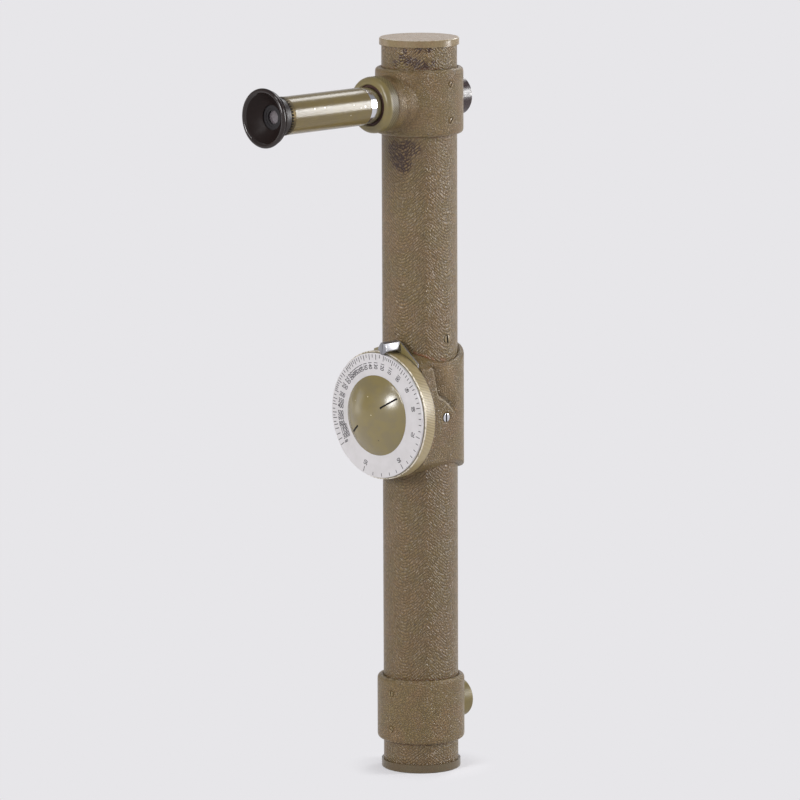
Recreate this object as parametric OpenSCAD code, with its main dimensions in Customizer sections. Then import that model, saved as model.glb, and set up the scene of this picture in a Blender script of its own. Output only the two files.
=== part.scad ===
// Coincidence rangefinder with an end eyepiece, a centre dial and a 400 mm base.
// It stands on its lower end cap. The origin is the centre of that cap's underside, +Z runs up the tube,
// the eyepiece and the dial face -Y, and both entrance windows face +Y. All lengths are in millimetres.

/* [Main tube and caps] */
// Outer diameter of the main tube
tube_d = 48.9; // [46:0.1:54]
// Wall of the main tube
tube_wall = 2.4; // [2:0.1:3]
// Base length between the two window axes
base_len = 400; // [380:1:460]
// Height of the lower window axis above the underside
lower_axis_z = 40.5; // [39:0.5:44]
// Height of the dial axis above the underside
dial_z = 238.4; // [225:0.1:250]
// Tube and cap left above the upper window axis
top_margin = 40.5; // [39:0.5:46]
// How far both end caps stand out from the tube
cap_lip = 1.4; // [0.8:0.1:3]
// Thickness of the top cap's disc
top_cap_h = 4.5; // [3.5:0.1:6]
// Thickness of the bottom cap's disc
bottom_cap_h = 5.5; // [4:0.1:7]
// Length of each cap's spigot inside the tube
cap_spigot_h = 8; // [5:0.5:10]
// Wall of a cap's spigot
cap_spigot_wall = 2; // [1.5:0.1:3]

/* [Cast housings] */
// Wall of the three housings
sleeve_wall = 4; // [3.6:0.1:5]
// Height of the upper housing
upper_sleeve_h = 43; // [41:0.5:46]
// Height of the lower housing
lower_sleeve_h = 42.5; // [41:0.5:46]
// Rounding of the housings' end edges
sleeve_round = 2.5; // [1:0.1:3]
// Diameter of the disc shape that trims the centre housing
centre_trim_d = 84; // [80:0.5:88]
// How far the centre housing's front face lies behind the sleeve's front
boss_setback = 0.8; // [0.4:0.1:1.2]
// How far the scoop above the screw pad reaches towards the dial, as a share of the sleeve radius
scoop_depth = 0.42; // [0.3:0.01:0.5]
// Height of the scoop's corner above the dial axis, as a share of the trim radius
scoop_corner = 0.31; // [0.25:0.01:0.4]
// Diameter of the eyepiece boss
eyepiece_boss_d = 35; // [34:0.5:37]
// How far the eyepiece boss stands out from the sleeve
eyepiece_boss_len = 8.1; // [6:0.1:10]
// Fillet between the eyepiece boss and its housing
boss_fillet = 4; // [2:0.5:5]

/* [Windows] */
// Diameter of the window rings
window_ring_d = 25.8; // [25:0.1:27]
// How far a window ring stands out from the sleeve
window_ring_len = 8; // [7:0.1:12]
// Depth of the flat seat under a window ring
window_seat_depth = 2.4; // [2:0.1:2.8]
// Diameter of the spigot that centres a window ring
window_spigot_d = 21.8; // [20:0.1:23]
// Diameter of the window glasses
glass_d = 20; // [18:0.5:21]
// Thickness of the window glasses
glass_t = 2.5; // [2:0.1:3]
// Width of the ledge that a window glass seats on
glass_ledge = 1; // [0.8:0.1:1.5]

/* [Dial] */
// Diameter of the knurled dial rim
dial_d = 84; // [80:0.5:86]
// Gap between the dial rim and the centre housing
dial_gap = 1.4; // [1.3:0.1:2]
// Depth of the dial rim, under the scale plate
dial_depth = 9.3; // [9:0.1:12]
// Radial thickness of the dial rim
dial_rim_wall = 5; // [4:0.5:7]
// Thickness of the dial web
dial_web_t = 4.4; // [3:0.1:5]
// Diameter of the dial hub
dial_hub_d = 18; // [15:0.5:20]
// Diameter of the scale plate
scale_d = 81.6; // [78:0.1:82]
// Thickness of the scale plate
scale_t = 2.1; // [0.8:0.1:2.4]
// Diameter of the domed dial cap
dial_cap_d = 52.4; // [50:0.1:56]
// Height of the domed dial cap
dial_cap_h = 8.8; // [7:0.1:10]
// Wall of the domed dial cap
dial_cap_wall = 1.6; // [1.2:0.1:2]
// Inner end of the spanner slots, from the dial axis
cap_slot_in = 12.3; // [11:0.1:14]
// Outer end of the spanner slots, from the dial axis
cap_slot_out = 22.5; // [20:0.1:23]
// Width of the spanner slots
cap_slot_w = 1.2; // [1:0.1:2]
// Diameter of the dial spindle
spindle_d = 6; // [5:0.1:6.4]
// Turn from rest to the infinity stop, in degrees
dial_to_far = 135; // [120:1:140]
// Turn from rest to the near stop, in degrees
dial_to_near = 189; // [170:1:192]

/* [Index bracket] */
// Direction of the index, in degrees clockwise from the top
index_angle = 9; // [0:1:20]
// Width of the index bridge
index_w = 7.5; // [6:0.1:9]
// Thickness of the bracket's sheet
index_t = 1; // [0.8:0.1:1.1]
// Running gap between the dial rim and the bridge
index_gap = 2; // [1:0.1:3]
// Thickness of the bridge over the rim
bridge_t = 4.9; // [3:0.1:6]
// Gap between the scale plate and the front tab
tab_gap = 0.86; // [0.5:0.02:1.5]
// Distance of the tab's point from the dial axis
index_tip = 40.9; // [38:0.1:42]

/* [Eyepiece] */
// Diameter of the bright inner tube
inner_tube_d = 23.8; // [23:0.1:24]
// Bore of the inner tube and the eyepiece tube
eyepiece_bore = 21.2; // [20.5:0.1:21.4]
// Diameter of the lacquered eyepiece tube
eyepiece_tube_d = 24.4; // [24.2:0.1:25.4]
// How far the inner tube reaches inside the main tube's wall
inner_tube_reach = 1.9; // [1:0.1:2.4]
// Length of bright tube that shows between the collar and the lacquered tube
bright_len = 8.9; // [8.7:0.1:12]
// Travel of the eyepiece tube inwards
draw_in = 8.5; // [6:0.1:8.5]
// Length of the lacquered eyepiece tube
eyepiece_tube_len = 68.8; // [60:0.1:80]
// Length of the dioptre ring
dioptre_ring_len = 3.6; // [3:0.1:5]
// Diameter of the clamp collar
collar_d = 36.8; // [35:0.1:42]
// Length of the clamp collar
collar_len = 9.8; // [9.5:0.1:12]
// Bore of the collar's front lip
collar_lip_bore = 26.6; // [26:0.1:27]
// Diameter of the threaded spigot under the collar
collar_thread_d = 30.4; // [30:0.1:31]
// Length of the eyecup
eyecup_len = 14.6; // [14.2:0.1:17]
// Diameter of the eyecup's neck
eyecup_neck_d = 25; // [24.5:0.1:26]
// Diameter of the eyecup's rim
eyecup_rim_d = 38.2; // [36:0.1:42]
// Diameter of the sight hole at the bottom of the cup
sight_hole_d = 16; // [14:0.5:17]
// Diameter of the eye lens
eye_lens_d = 12; // [11:0.5:14]

/* [Optics in the tube] */
// Face width of the five-sided prism
penta_face = 18; // [16:0.5:19]
// Side of the combining prism
combiner_side = 18; // [16:0.5:18.5]
// Diameter of the objective lenses' clear way
light_way_d = 16; // [12:0.5:17]
// Room between the travelling wedge prism and the main tube's wall
mechanism_room = 11.9; // [11.5:0.1:12.5]
// Thickness of the travelling wedge prism at its middle
wedge_t = 4; // [3.4:0.1:4.6]
// Module of the rack and pinion
gear_module = 1; // [0.9:0.02:1.05]
// Number of pinion teeth
pinion_teeth = 12; // [12:1:12]
// Width of the rack and pinion
gear_w = 5; // [4:0.1:5]
// Diameter of the guide rods
rod_d = 3; // [2.5:0.1:3.4]
// Distance of each guide rod's middle from the main tube's wall
rod_inset = 4.9; // [4.6:0.1:5.2]
// Distance of the upper guide plate's middle above the dial axis
guide_rise = 48; // [45:1:56]
// Gap between the carriage at its lowest and the lower guide plate
carriage_end_gap = 0.9; // [0.5:0.1:8]
// Length of the carriage's bushes on the rods
carriage_bush_h = 20; // [14:1:22]
// Wall of the carriage's bushes and of its prism seat
carriage_wall = 1.9; // [1.5:0.1:2.2]
// Thickness of the guide plates
guide_plate_t = 6; // [5:0.5:7]
// Distance of the wedge carriage below the dial axis at rest
carriage_drop = 32; // [31:0.5:36]

/* [Screws] */
// Head diameter of the small housing screws
small_head_d = 3.7; // [3.2:0.1:4.2]
// Shank diameter of the small housing screws
small_shank_d = 2; // [1.6:0.1:2.2]
// Distance of the upper housing screws from the window axis
upper_screw_dz = 11.8; // [11.5:0.1:12.5]
// Distance of the lower housing screws from the window axis
lower_screw_dz = 11.9; // [11.5:0.1:12.5]
// Head diameter of the bright centre housing screws
centre_head_d = 5.8; // [5:0.1:6.5]
// Head diameter of the guide plate screws
guide_head_d = 5.6; // [5:0.1:6]
// How far the upper housing screws reach inside the main tube's wall
upper_screw_bite = 3.9; // [2:0.1:5]
// How far the lower housing screws reach inside the main tube's wall
lower_screw_bite = 2.9; // [2:0.1:4]
// Shank diameter of the centre and guide plate screws
large_shank_d = 2.5; // [2:0.1:3]
// Screw slot width as a share of the head diameter
slot_share = 0.2; // [0.12:0.01:0.25]

/* [Clearances] */
// Radial gap between pieces that fit together and stay still
fit_gap = 0.1; // [0.06:0.01:0.14]
// Radial gap of a running fit
run_gap = 0.05; // [0.03:0.01:0.08]
// Gap between faces that pass each other
face_gap = 0.3; // [0.2:0.05:0.35]

/* [Hidden] */
$fn = 96;

// Derived radii and heights
tube_r = tube_d / 2;
tube_in_r = tube_r - tube_wall;
upper_axis_z = lower_axis_z + base_len;
total_h = upper_axis_z + top_margin;
tube_top_z = total_h - top_cap_h;
sleeve_bore_r = tube_r + fit_gap;
sleeve_r = sleeve_bore_r + sleeve_wall;
cap_r = tube_r + cap_lip;
boss_front = sleeve_r - boss_setback;
wedge_r = tube_in_r - mechanism_room;
rod_r = tube_in_r - rod_inset;
guide_top_z = dial_z + guide_rise;
inner_fit_r = tube_in_r - fit_gap;

// Rack and pinion
pitch_r = gear_module * pinion_teeth / 2;
tooth_pitch = PI * gear_module;
backlash = 0.25 * gear_module;
pressure_angle = 20;
tooth_up = 0.65 * gear_module;
tooth_down = gear_module;
travel_up = pitch_r * dial_to_near * PI / 180;
travel_down = pitch_r * dial_to_far * PI / 180;
pinion_rear = wedge_r + 2;
rack_back_t = 3;
rack_back_x = pitch_r + tooth_down + rack_back_t;
carriage_z = dial_z - carriage_drop;
carriage_t = 6;
carriage_lip = 1.2;
guide_bottom_z = carriage_z - travel_down - carriage_bush_h / 2 - carriage_end_gap - guide_plate_t / 2;
rack_low_teeth = ceil((travel_up + 2 * tooth_pitch) / tooth_pitch);
rack_high_teeth = ceil((travel_down + tooth_pitch) / tooth_pitch);

// Stations along the dial axis, measured from the tube axis towards the front
clip_front = pinion_rear + gear_w + 2.6;
clip_t = 1.2;
bush_rear = clip_front + face_gap;
bush_flange_t = 2;
bush_r = spindle_d / 2 + 3.4;
bush_flange_r = bush_r + 2.6;
washer_t = 0.8;
dial_rear = boss_front + dial_gap;
dial_front = dial_rear + dial_depth;
hub_rear = boss_front + 2 * fit_gap + washer_t;
scale_front = dial_front + scale_t;
nut_t = 2.6;
nut_r = spindle_d / 2 + 2.4;
spindle_front = scale_front + dial_cap_h - dial_cap_wall - 1.2;
cap_sphere_r = (pow(dial_cap_d / 2, 2) + pow(dial_cap_h, 2)) / (2 * dial_cap_h);
cap_sphere_l = scale_front + dial_cap_h - cap_sphere_r;
stop_r = 25;
limit_pin_r = 2;
stop_half_w = 2.5;
stop_half_angle = 180 - (dial_to_far + dial_to_near) / 2 - asin(limit_pin_r / stop_r) - 0.8;
limit_pin_angle = 270;
dial_stop_angle = limit_pin_angle + 180 - (dial_to_near - dial_to_far) / 2;
pin_socket_rear = tube_r + 0.6;
web_rear = dial_front - dial_web_t;
stop_rear = dial_rear + 1.5;

// Index bracket stations along the index direction
bridge_low = dial_d / 2 + index_gap;
bridge_high = bridge_low + bridge_t;
bracket_rear = boss_front;
bracket_front = bracket_rear + index_t;
index_front = scale_front + tab_gap + index_t;
bracket_half_w = 20;
bracket_low = 20;
bracket_screw_w = 12;
bracket_screw_up = 30;
bracket_slope = tan(30);

// Stations along the eyepiece axis, measured from the tube axis towards the front
eyepiece_boss_front = sleeve_r + eyepiece_boss_len;
inner_tube_end = tube_in_r - inner_tube_reach;
collar_rear = eyepiece_boss_front + face_gap;
collar_front = collar_rear + collar_len;
collar_lip_t = 1.4;
guide_flange_t = 1;
collar_spigot_front = collar_front - collar_lip_t - face_gap - guide_flange_t;
guide_r = inner_tube_d / 2 + 2;
guide_rear = inner_tube_end - 2;
lacquer_start = collar_front + bright_len;
joint_len = 7.5;
joint_r = (inner_tube_d / 2 + eyepiece_bore / 2) / 2;
eyepiece_tube_end = lacquer_start + eyepiece_tube_len;
dioptre_end = eyepiece_tube_end + dioptre_ring_len;
eyecup_rear = dioptre_end + face_gap;
eyecup_front = eyecup_rear + eyecup_len;
cell_front = eyecup_rear + 5;
cell_rear = eyepiece_tube_end - 12.4;
cell_r = eyepiece_bore / 2 - run_gap;
eye_lens_rear = cell_front - 4.5;
eye_lens_t = 3;
field_lens_t = 4;

// Windows
window_spigot_rear = tube_in_r + 0.4;
window_hole_r = window_spigot_d / 2 + fit_gap;
window_ring_front = sleeve_r + window_ring_len;
window_seat = sleeve_r - window_seat_depth;
glass_ring_t = 1.5;
glass_rear = window_ring_front - 1.4 - glass_ring_t - glass_t;
upper_objective_t = 3.5;

// Cradles
combiner_half = combiner_side / 2;
combiner_plate_t = 2 * (upper_screw_dz - combiner_half);
cheek_t = 3.4;
cradle_front_cut = inner_tube_end - draw_in - 1;
penta_top_z = lower_axis_z + penta_face / 2;
penta_bottom_z = penta_top_z - sqrt(2) * penta_face;
penta_plate_t = 2 * (lower_axis_z + lower_screw_dz - penta_top_z);
penta_floor_t = 5;
penta_back = sqrt(2) * penta_face - penta_face / 2;
penta_half_w = penta_face / 2;
objective_r = inner_fit_r - 9;
objective_t = 4.5;
cell_ring_t = 9;
lower_objective_z = penta_top_z + penta_plate_t + 3;

// Colours
olive = [0.46, 0.41, 0.30];
gloss_olive = [0.50, 0.45, 0.29];
bright = [0.80, 0.80, 0.82];
brass = [0.75, 0.60, 0.32];
black = [0.07, 0.07, 0.07];
plate_white = [0.90, 0.90, 0.88];
glass_blue = [0.70, 0.82, 0.88];
steel = [0.55, 0.56, 0.58];

// Placement helpers. In each one local +Z points outwards from the tube axis at the height z.
module front(z) { translate([0, 0, z]) rotate([90, 0, 0]) children(); }
module rear(z) { translate([0, 0, z]) rotate([-90, 0, 0]) children(); }
module side(z, s) { translate([0, 0, z]) rotate([0, 90 * s, 0]) children(); }

module ring(r_out, r_in, z0, z1) {
    translate([0, 0, z0]) difference() {
        cylinder(r = r_out, h = z1 - z0);
        translate([0, 0, -1]) cylinder(r = r_in, h = z1 - z0 + 2);
    }
}

module disc(r, z0, z1) { translate([0, 0, z0]) cylinder(r = r, h = z1 - z0); }

// Points of an arc, from angle a0 to angle a1, in n steps
function arc(cx, cy, r, a0, a1, n = 6) =
    [for (i = [0 : n]) [cx + r * cos(a0 + (a1 - a0) * i / n), cy + r * sin(a0 + (a1 - a0) * i / n)]];

// Ring with rounded outer edges, standing on z0
module rounded_sleeve(r_out, r_in, z0, z1, round_r) {
    rotate_extrude() polygon(concat(
        [[r_in, z0]],
        arc(r_out - round_r, z0 + round_r, round_r, -90, 0),
        arc(r_out - round_r, z1 - round_r, round_r, 0, 90),
        [[r_in, z1]]));
}

// Slotted screw with a flat head. The head's top is at z = 0 and the shank runs down.
module slotted_screw(head_d, head_h, shank_d, length) {
    slot_depth = head_h * 0.6;
    difference() {
        union() {
            translate([0, 0, -head_h]) cylinder(d = head_d, h = head_h);
            translate([0, 0, -length]) cylinder(d = shank_d, h = length);
        }
        translate([-head_d * slot_share / 2, -head_d, -slot_depth])
            cube([head_d * slot_share, 2 * head_d, slot_depth + 1]);
    }
}

// Room for a slotted screw, with the fit gap all round
module screw_room(head_d, head_h, shank_d, length) {
    translate([0, 0, -head_h]) cylinder(d = head_d + 2 * fit_gap, h = head_h + 20);
    translate([0, 0, -length - fit_gap]) cylinder(d = shank_d + 2 * fit_gap, h = length);
}

// Where the screws sit: small upper, small lower, bright centre and guide plate screws
small_head_h = 1.4;
large_head_h = 1.8;
upper_screw_len = sleeve_r - tube_in_r + upper_screw_bite;
lower_screw_len = sleeve_r - tube_in_r + lower_screw_bite;
centre_screw_y = -5.1;
centre_screw_z = dial_z - 2.5;
centre_screw_top = sleeve_r + 0.3;
centre_screw_len = centre_screw_top - tube_in_r - 0.4;
guide_screw_top = tube_r + 0.1;
guide_screw_len = guide_screw_top - rod_r - rod_d / 2 - 0.5;

module at_upper_screws() {
    for (s = [-1, 1], dz = [-1, 1])
        side(upper_axis_z + dz * upper_screw_dz, s) translate([0, 0, sleeve_r]) children();
}

module at_lower_screws() {
    for (dz = [-1, 1])
        front(lower_axis_z + dz * lower_screw_dz) translate([0, 0, sleeve_r]) children();
}

module at_centre_screws() {
    for (s = [-1, 1])
        translate([0, centre_screw_y, 0]) side(centre_screw_z, s)
            translate([0, 0, centre_screw_top]) children();
}

module at_guide_screws() {
    for (s = [-1, 1])
        side(guide_top_z, s) translate([0, 0, guide_screw_top]) children();
}

// Places children on the dial, with local +Y along the index direction
module index_frame() { front(dial_z) rotate([0, 0, -index_angle]) children(); }

module at_bracket_screws() {
    for (s = [-1, 1])
        index_frame() translate([s * bracket_screw_w, bracket_screw_up, bracket_front]) children();
}

// Main tube with its openings for the optics, the spindle and the screws
module main_tube() color(olive) difference() {
    ring(tube_r, tube_in_r, bottom_cap_h, tube_top_z);
    rear(lower_axis_z) disc(window_hole_r, 0, tube_r + 1);
    rear(upper_axis_z) disc(window_hole_r, 0, tube_r + 1);
    front(upper_axis_z) disc(guide_r + fit_gap, 0, tube_r + 1);
    front(dial_z) disc(bush_r + fit_gap, 0, tube_r + 1);
    at_upper_screws() screw_room(0.1, 0.1, small_shank_d, upper_screw_len);
    at_lower_screws() screw_room(0.1, 0.1, small_shank_d, lower_screw_len);
    at_centre_screws() screw_room(0.1, 0.1, large_shank_d, centre_screw_len + 2);
    at_guide_screws() screw_room(guide_head_d, large_head_h, large_shank_d, guide_screw_len);
}

// Disc of an end cap with a hollow spigot that enters the tube
module end_cap(disc_h) {
    edge = 0.6;
    rotate_extrude() polygon([
        [0, 0], [cap_r - edge, 0], [cap_r, edge], [cap_r, disc_h],
        [inner_fit_r, disc_h], [inner_fit_r, disc_h + cap_spigot_h],
        [inner_fit_r - cap_spigot_wall, disc_h + cap_spigot_h],
        [inner_fit_r - cap_spigot_wall, disc_h], [0, disc_h]]);
}

module bottom_cap() color(olive) end_cap(bottom_cap_h);
module top_cap() color(olive) translate([0, 0, total_h]) mirror([0, 0, 1]) end_cap(top_cap_h);

// Flat seat and bore for a window ring
module window_cut() {
    disc(window_ring_d / 2 + fit_gap, window_seat, window_seat + 10);
    disc(window_hole_r, 0, sleeve_r + 1);
}

// Upper housing with the eyepiece boss at the front and a window seat at the rear
module upper_housing() color(olive) difference() {
    boss_r = eyepiece_boss_d / 2;
    union() {
        rounded_sleeve(sleeve_r, sleeve_bore_r,
            upper_axis_z - upper_sleeve_h / 2, upper_axis_z + upper_sleeve_h / 2, sleeve_round);
        front(upper_axis_z) difference() {
            rotate_extrude() polygon(concat(
                [[0, 5], [boss_r + boss_fillet / 2, 5]],
                [[boss_r + boss_fillet / 2, sleeve_r - boss_fillet]],
                arc(boss_r + boss_fillet, sleeve_r + boss_fillet / 2, boss_fillet, 240, 180),
                [[boss_r, eyepiece_boss_front], [collar_thread_d / 2, eyepiece_boss_front],
                 [collar_thread_d / 2, collar_spigot_front], [0, collar_spigot_front]]));
        }
    }
    translate([0, 0, upper_axis_z - upper_sleeve_h]) cylinder(r = sleeve_bore_r, h = 2 * upper_sleeve_h);
    front(upper_axis_z) disc(guide_r + fit_gap, 0, collar_spigot_front + 1);
    rear(upper_axis_z) window_cut();
    at_upper_screws() screw_room(small_head_d, small_head_h, small_shank_d, upper_screw_len);
}

// Lower housing with a window seat at the rear
module lower_housing() color(olive) difference() {
    rounded_sleeve(sleeve_r, sleeve_bore_r,
        lower_axis_z - lower_sleeve_h / 2 + 0.2, lower_axis_z + lower_sleeve_h / 2 + 0.2, sleeve_round);
    rear(lower_axis_z) window_cut();
    at_lower_screws() screw_room(small_head_d, small_head_h, small_shank_d, lower_screw_len);
}

// Outline of the scoop above the screw pad, in (depth, height) from the dial axis
module scoop_outline() {
    depth = sleeve_r * scoop_depth;
    corner = centre_trim_d / 2 * scoop_corner;
    over = centre_trim_d / 2;
    polygon([
        [-0.08 * depth, 0.16 * corner], [0.45 * depth, 0.65 * corner], [0.86 * depth, 0.87 * corner],
        [depth, corner], [1.08 * depth, 1.16 * corner], [1.2 * depth, 1.6 * corner],
        [1.4 * depth, 2.34 * corner], [1.65 * depth, over], [-over, over], [-over, 0.16 * corner]]);
}

// Centre housing: a sleeve with a flat-sided front block, trimmed to a disc around the dial axis,
// and scooped above the screw pads at both sides
module centre_housing() color(olive) difference() {
    trim_r = centre_trim_d / 2;
    intersection() {
        union() {
            translate([0, 0, dial_z - trim_r]) cylinder(r = sleeve_r, h = 2 * trim_r);
            difference() {
                translate([-sleeve_r, -boss_front, dial_z - trim_r])
                    cube([2 * sleeve_r, boss_front, 2 * trim_r]);
                for (s = [-1, 1])
                    translate([s * sleeve_r, 0, dial_z]) rotate([90, 0, 90])
                        linear_extrude(height = sleeve_r, center = true) mirror([1, 0]) scoop_outline();
            }
        }
        front(dial_z) translate([0, 0, -sleeve_r - 1]) cylinder(r = trim_r, h = 2 * sleeve_r + 2);
        translate([-sleeve_r - 1, -boss_front, dial_z - trim_r])
            cube([2 * sleeve_r + 2, boss_front + sleeve_r + 1, 2 * trim_r]);
    }
    translate([0, 0, dial_z - trim_r - 1]) cylinder(r = sleeve_bore_r, h = 2 * trim_r + 2);
    front(dial_z) {
        disc(bush_r + fit_gap, 0, boss_front + 1);
        disc(bush_flange_r + fit_gap, boss_front - bush_flange_t, boss_front + 1);
        rotate([0, 0, limit_pin_angle]) translate([stop_r, 0, 0])
            disc(limit_pin_r + fit_gap / 2, pin_socket_rear, boss_front + 1);
    }
    at_bracket_screws() bracket_screw_room();
    at_centre_screws() screw_room(centre_head_d, large_head_h, large_shank_d, centre_screw_len + 1);
}

// Window ring with a centring spigot, a seat for the glass and a clear way through
module window_ring(tint) color(tint) {
    r = window_ring_d / 2;
    glass_room = glass_d / 2 + fit_gap;
    way = glass_d / 2 - glass_ledge;
    rotate_extrude() polygon([
        [way, window_spigot_rear], [window_spigot_d / 2, window_spigot_rear],
        [window_spigot_d / 2, window_seat], [r, window_seat], [r, window_ring_front - 0.5],
        [r - 0.5, window_ring_front], [glass_room, window_ring_front],
        [glass_room, glass_rear], [way, glass_rear]]);
}

module window_glass() color(glass_blue) disc(glass_d / 2, glass_rear, glass_rear + glass_t);

module glass_ring() color(black)
    ring(glass_d / 2 + fit_gap / 2, glass_d / 2 - glass_ledge, glass_rear + glass_t,
        glass_rear + glass_t + glass_ring_t);

module upper_window_ring() rear(upper_axis_z) window_ring(black);
module upper_window_glass() rear(upper_axis_z) window_glass();
module upper_glass_ring() rear(upper_axis_z) glass_ring();
module lower_window_ring() rear(lower_axis_z) window_ring(gloss_olive);
module lower_window_glass() rear(lower_axis_z) window_glass();
module lower_glass_ring() rear(lower_axis_z) glass_ring();

// Lens with one domed face, standing on z0
module lens(r, z0, t, rise) {
    ball_r = (r * r + rise * rise) / (2 * rise);
    intersection() {
        disc(r, z0, z0 + t);
        translate([0, 0, z0 + t - ball_r]) sphere(r = ball_r);
    }
}

// Objective of the near beam, held in the upper window ring
module upper_objective() color(glass_blue)
    rear(upper_axis_z) lens(glass_d / 2 - glass_ledge - fit_gap / 2, window_spigot_rear + 0.5,
        upper_objective_t, 1);

// Five-sided prism that turns the far beam up the tube
module lower_prism() color(glass_blue) {
    a = penta_face;
    translate([0, a / 2, penta_top_z]) rotate([90, 0, 90])
        linear_extrude(height = 2 * penta_half_w, center = true)
            polygon([[0, 0], [-a, 0], [-sqrt(2) * a, -a], [-a, -sqrt(2) * a], [0, -a]]);
}

// Cradle of the five-sided prism: floor, two cheeks, a front rib for the screw and a ring on top
module lower_prism_cradle() color(steel) difference() {
    union() {
        intersection() {
            disc(inner_fit_r, penta_bottom_z - penta_floor_t, penta_top_z + penta_plate_t);
            union() {
                translate([-50, -50, penta_bottom_z - penta_floor_t]) cube([100, 100, penta_floor_t]);
                translate([-50, -50, penta_top_z]) cube([100, 100, penta_plate_t]);
                for (s = [-1, 1])
                    translate([s * (penta_half_w + run_gap + cheek_t / 2), 0, lower_axis_z])
                        cube([cheek_t, penta_face, 2 * lower_axis_z], center = true);
                translate([-penta_half_w, -50, penta_bottom_z - 1])
                    cube([2 * penta_half_w, 50 - penta_back - face_gap, 12]);
            }
        }
    }
    disc(light_way_d / 2, penta_top_z - 1, penta_top_z + penta_plate_t + 1);
    rear(lower_axis_z) disc(penta_half_w, 0, 40);
    at_lower_screws() screw_room(0.1, 0.1, small_shank_d, lower_screw_len);
}

// Ring that holds the far beam's objective above the five-sided prism
module lower_objective_cell() color(black) rotate_extrude() polygon([
    [light_way_d / 2, lower_objective_z], [inner_fit_r, lower_objective_z],
    [inner_fit_r, lower_objective_z + cell_ring_t],
    [objective_r + fit_gap, lower_objective_z + cell_ring_t],
    [objective_r + fit_gap, lower_objective_z + 2], [light_way_d / 2, lower_objective_z + 2]]);

module lower_objective() color(glass_blue) lens(objective_r, lower_objective_z + 2, objective_t, 1.2);

// Combining prism: two right-angle prisms face to face across the diagonal
module half_cube(sign) {
    h = combiner_half;
    translate([0, 0, upper_axis_z]) rotate([90, 0, 90])
        linear_extrude(height = combiner_side, center = true)
            polygon([[-h, -h], [h, h], [sign * -h, sign * h]]);
}

module combining_prism() color(glass_blue) half_cube(-1);
module combining_cover_prism() color(glass_blue) half_cube(1);

// Cradle of the combining prism: two plates and two cheeks, open towards the window and the eyepiece
module combiner_cradle() color(steel) difference() {
    intersection() {
        disc(inner_fit_r, upper_axis_z - combiner_half - combiner_plate_t,
            upper_axis_z + combiner_half + combiner_plate_t + face_gap);
        translate([-50, -cradle_front_cut, 0]) cube([100, 100, total_h]);
        union() {
            translate([-50, -50, upper_axis_z - combiner_half - combiner_plate_t])
                cube([100, 100, combiner_plate_t]);
            translate([-50, -50, upper_axis_z + combiner_half + face_gap])
                cube([100, 100, combiner_plate_t]);
            for (s = [-1, 1])
                translate([s * (combiner_half + run_gap + cheek_t / 2), 0, upper_axis_z])
                    cube([cheek_t, combiner_side, 2 * combiner_half + 2], center = true);
        }
    }
    disc(light_way_d / 2, upper_axis_z - combiner_half - combiner_plate_t - 1, upper_axis_z);
    at_upper_screws() screw_room(0.1, 0.1, small_shank_d, upper_screw_len);
}

// Guide plates with a clear way and seats for the two rods
module guide_plate(z) difference() {
    ring(inner_fit_r, wedge_r + 1, z - guide_plate_t / 2, z + guide_plate_t / 2);
    for (s = [-1, 1])
        translate([s * rod_r, 0, 0])
            disc(rod_d / 2 + run_gap / 2, z - guide_plate_t, z + guide_plate_t);
    at_guide_screws() screw_room(0.1, 0.1, large_shank_d, guide_screw_len);
}

module guide_plate_upper() color(steel) guide_plate(guide_top_z);
module guide_plate_lower() color(steel) guide_plate(guide_bottom_z);

module guide_rods() color(bright)
    for (s = [-1, 1])
        translate([s * rod_r, 0, 0])
            disc(rod_d / 2, guide_bottom_z - guide_plate_t / 2, guide_top_z + guide_plate_t / 2);

// Bush that carries the dial spindle
module spindle_bush() color(brass) front(dial_z) rotate_extrude() {
    bore = spindle_d / 2 + run_gap;
    polygon([
        [bore, bush_rear], [bush_r, bush_rear], [bush_r, boss_front - bush_flange_t],
        [bush_flange_r, boss_front - bush_flange_t], [bush_flange_r, boss_front], [bore, boss_front]]);
}

module friction_washer() color(steel) front(dial_z)
    ring(bush_r + 1, spindle_d / 2 + fit_gap, boss_front + fit_gap, boss_front + fit_gap + washer_t);

bracket_screw_len = 4.5;
bracket_screw_d = 2;
bracket_head_d = 4;

module bracket_screw_room() {
    translate([0, 0, -index_t / 2]) cylinder(d = bracket_head_d + 2 * fit_gap, h = 5);
    translate([0, 0, -bracket_screw_len - fit_gap])
        cylinder(d = bracket_screw_d + fit_gap, h = bracket_screw_len + 1);
}

// Index bracket: plate behind the dial, bridge over the rim and pointed tab in front of the scale
module index_bracket() color(bright) difference() {
    half = index_w / 2;
    top_half = half / 2;
    side = bridge_low + bridge_t * 0.2;
    shoulder = bridge_high - (bracket_half_w - top_half) * bracket_slope;
    index_frame() {
        translate([0, 0, bracket_rear]) linear_extrude(height = index_t)
            polygon([[-top_half, bridge_high], [top_half, bridge_high], [bracket_half_w, shoulder],
                [bracket_half_w, bracket_low], [-bracket_half_w, bracket_low],
                [-bracket_half_w, shoulder]]);
        translate([0, 0, bracket_rear]) linear_extrude(height = index_front - bracket_rear)
            polygon([[-top_half, bridge_high], [top_half, bridge_high], [half, side],
                [half, bridge_low], [-half, bridge_low], [-half, side]]);
        translate([0, 0, index_front - index_t]) linear_extrude(height = index_t)
            polygon([[-top_half, bridge_high], [top_half, bridge_high], [half, side],
                [half, index_tip + half * 0.8], [0, index_tip],
                [-half, index_tip + half * 0.8], [-half, side]]);
    }
    at_bracket_screws() bracket_screw_room();
}

module bracket_screws() color(bright) at_bracket_screws() {
    slotted_screw(bracket_head_d, index_t / 2, bracket_screw_d, bracket_screw_len);
}

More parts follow.
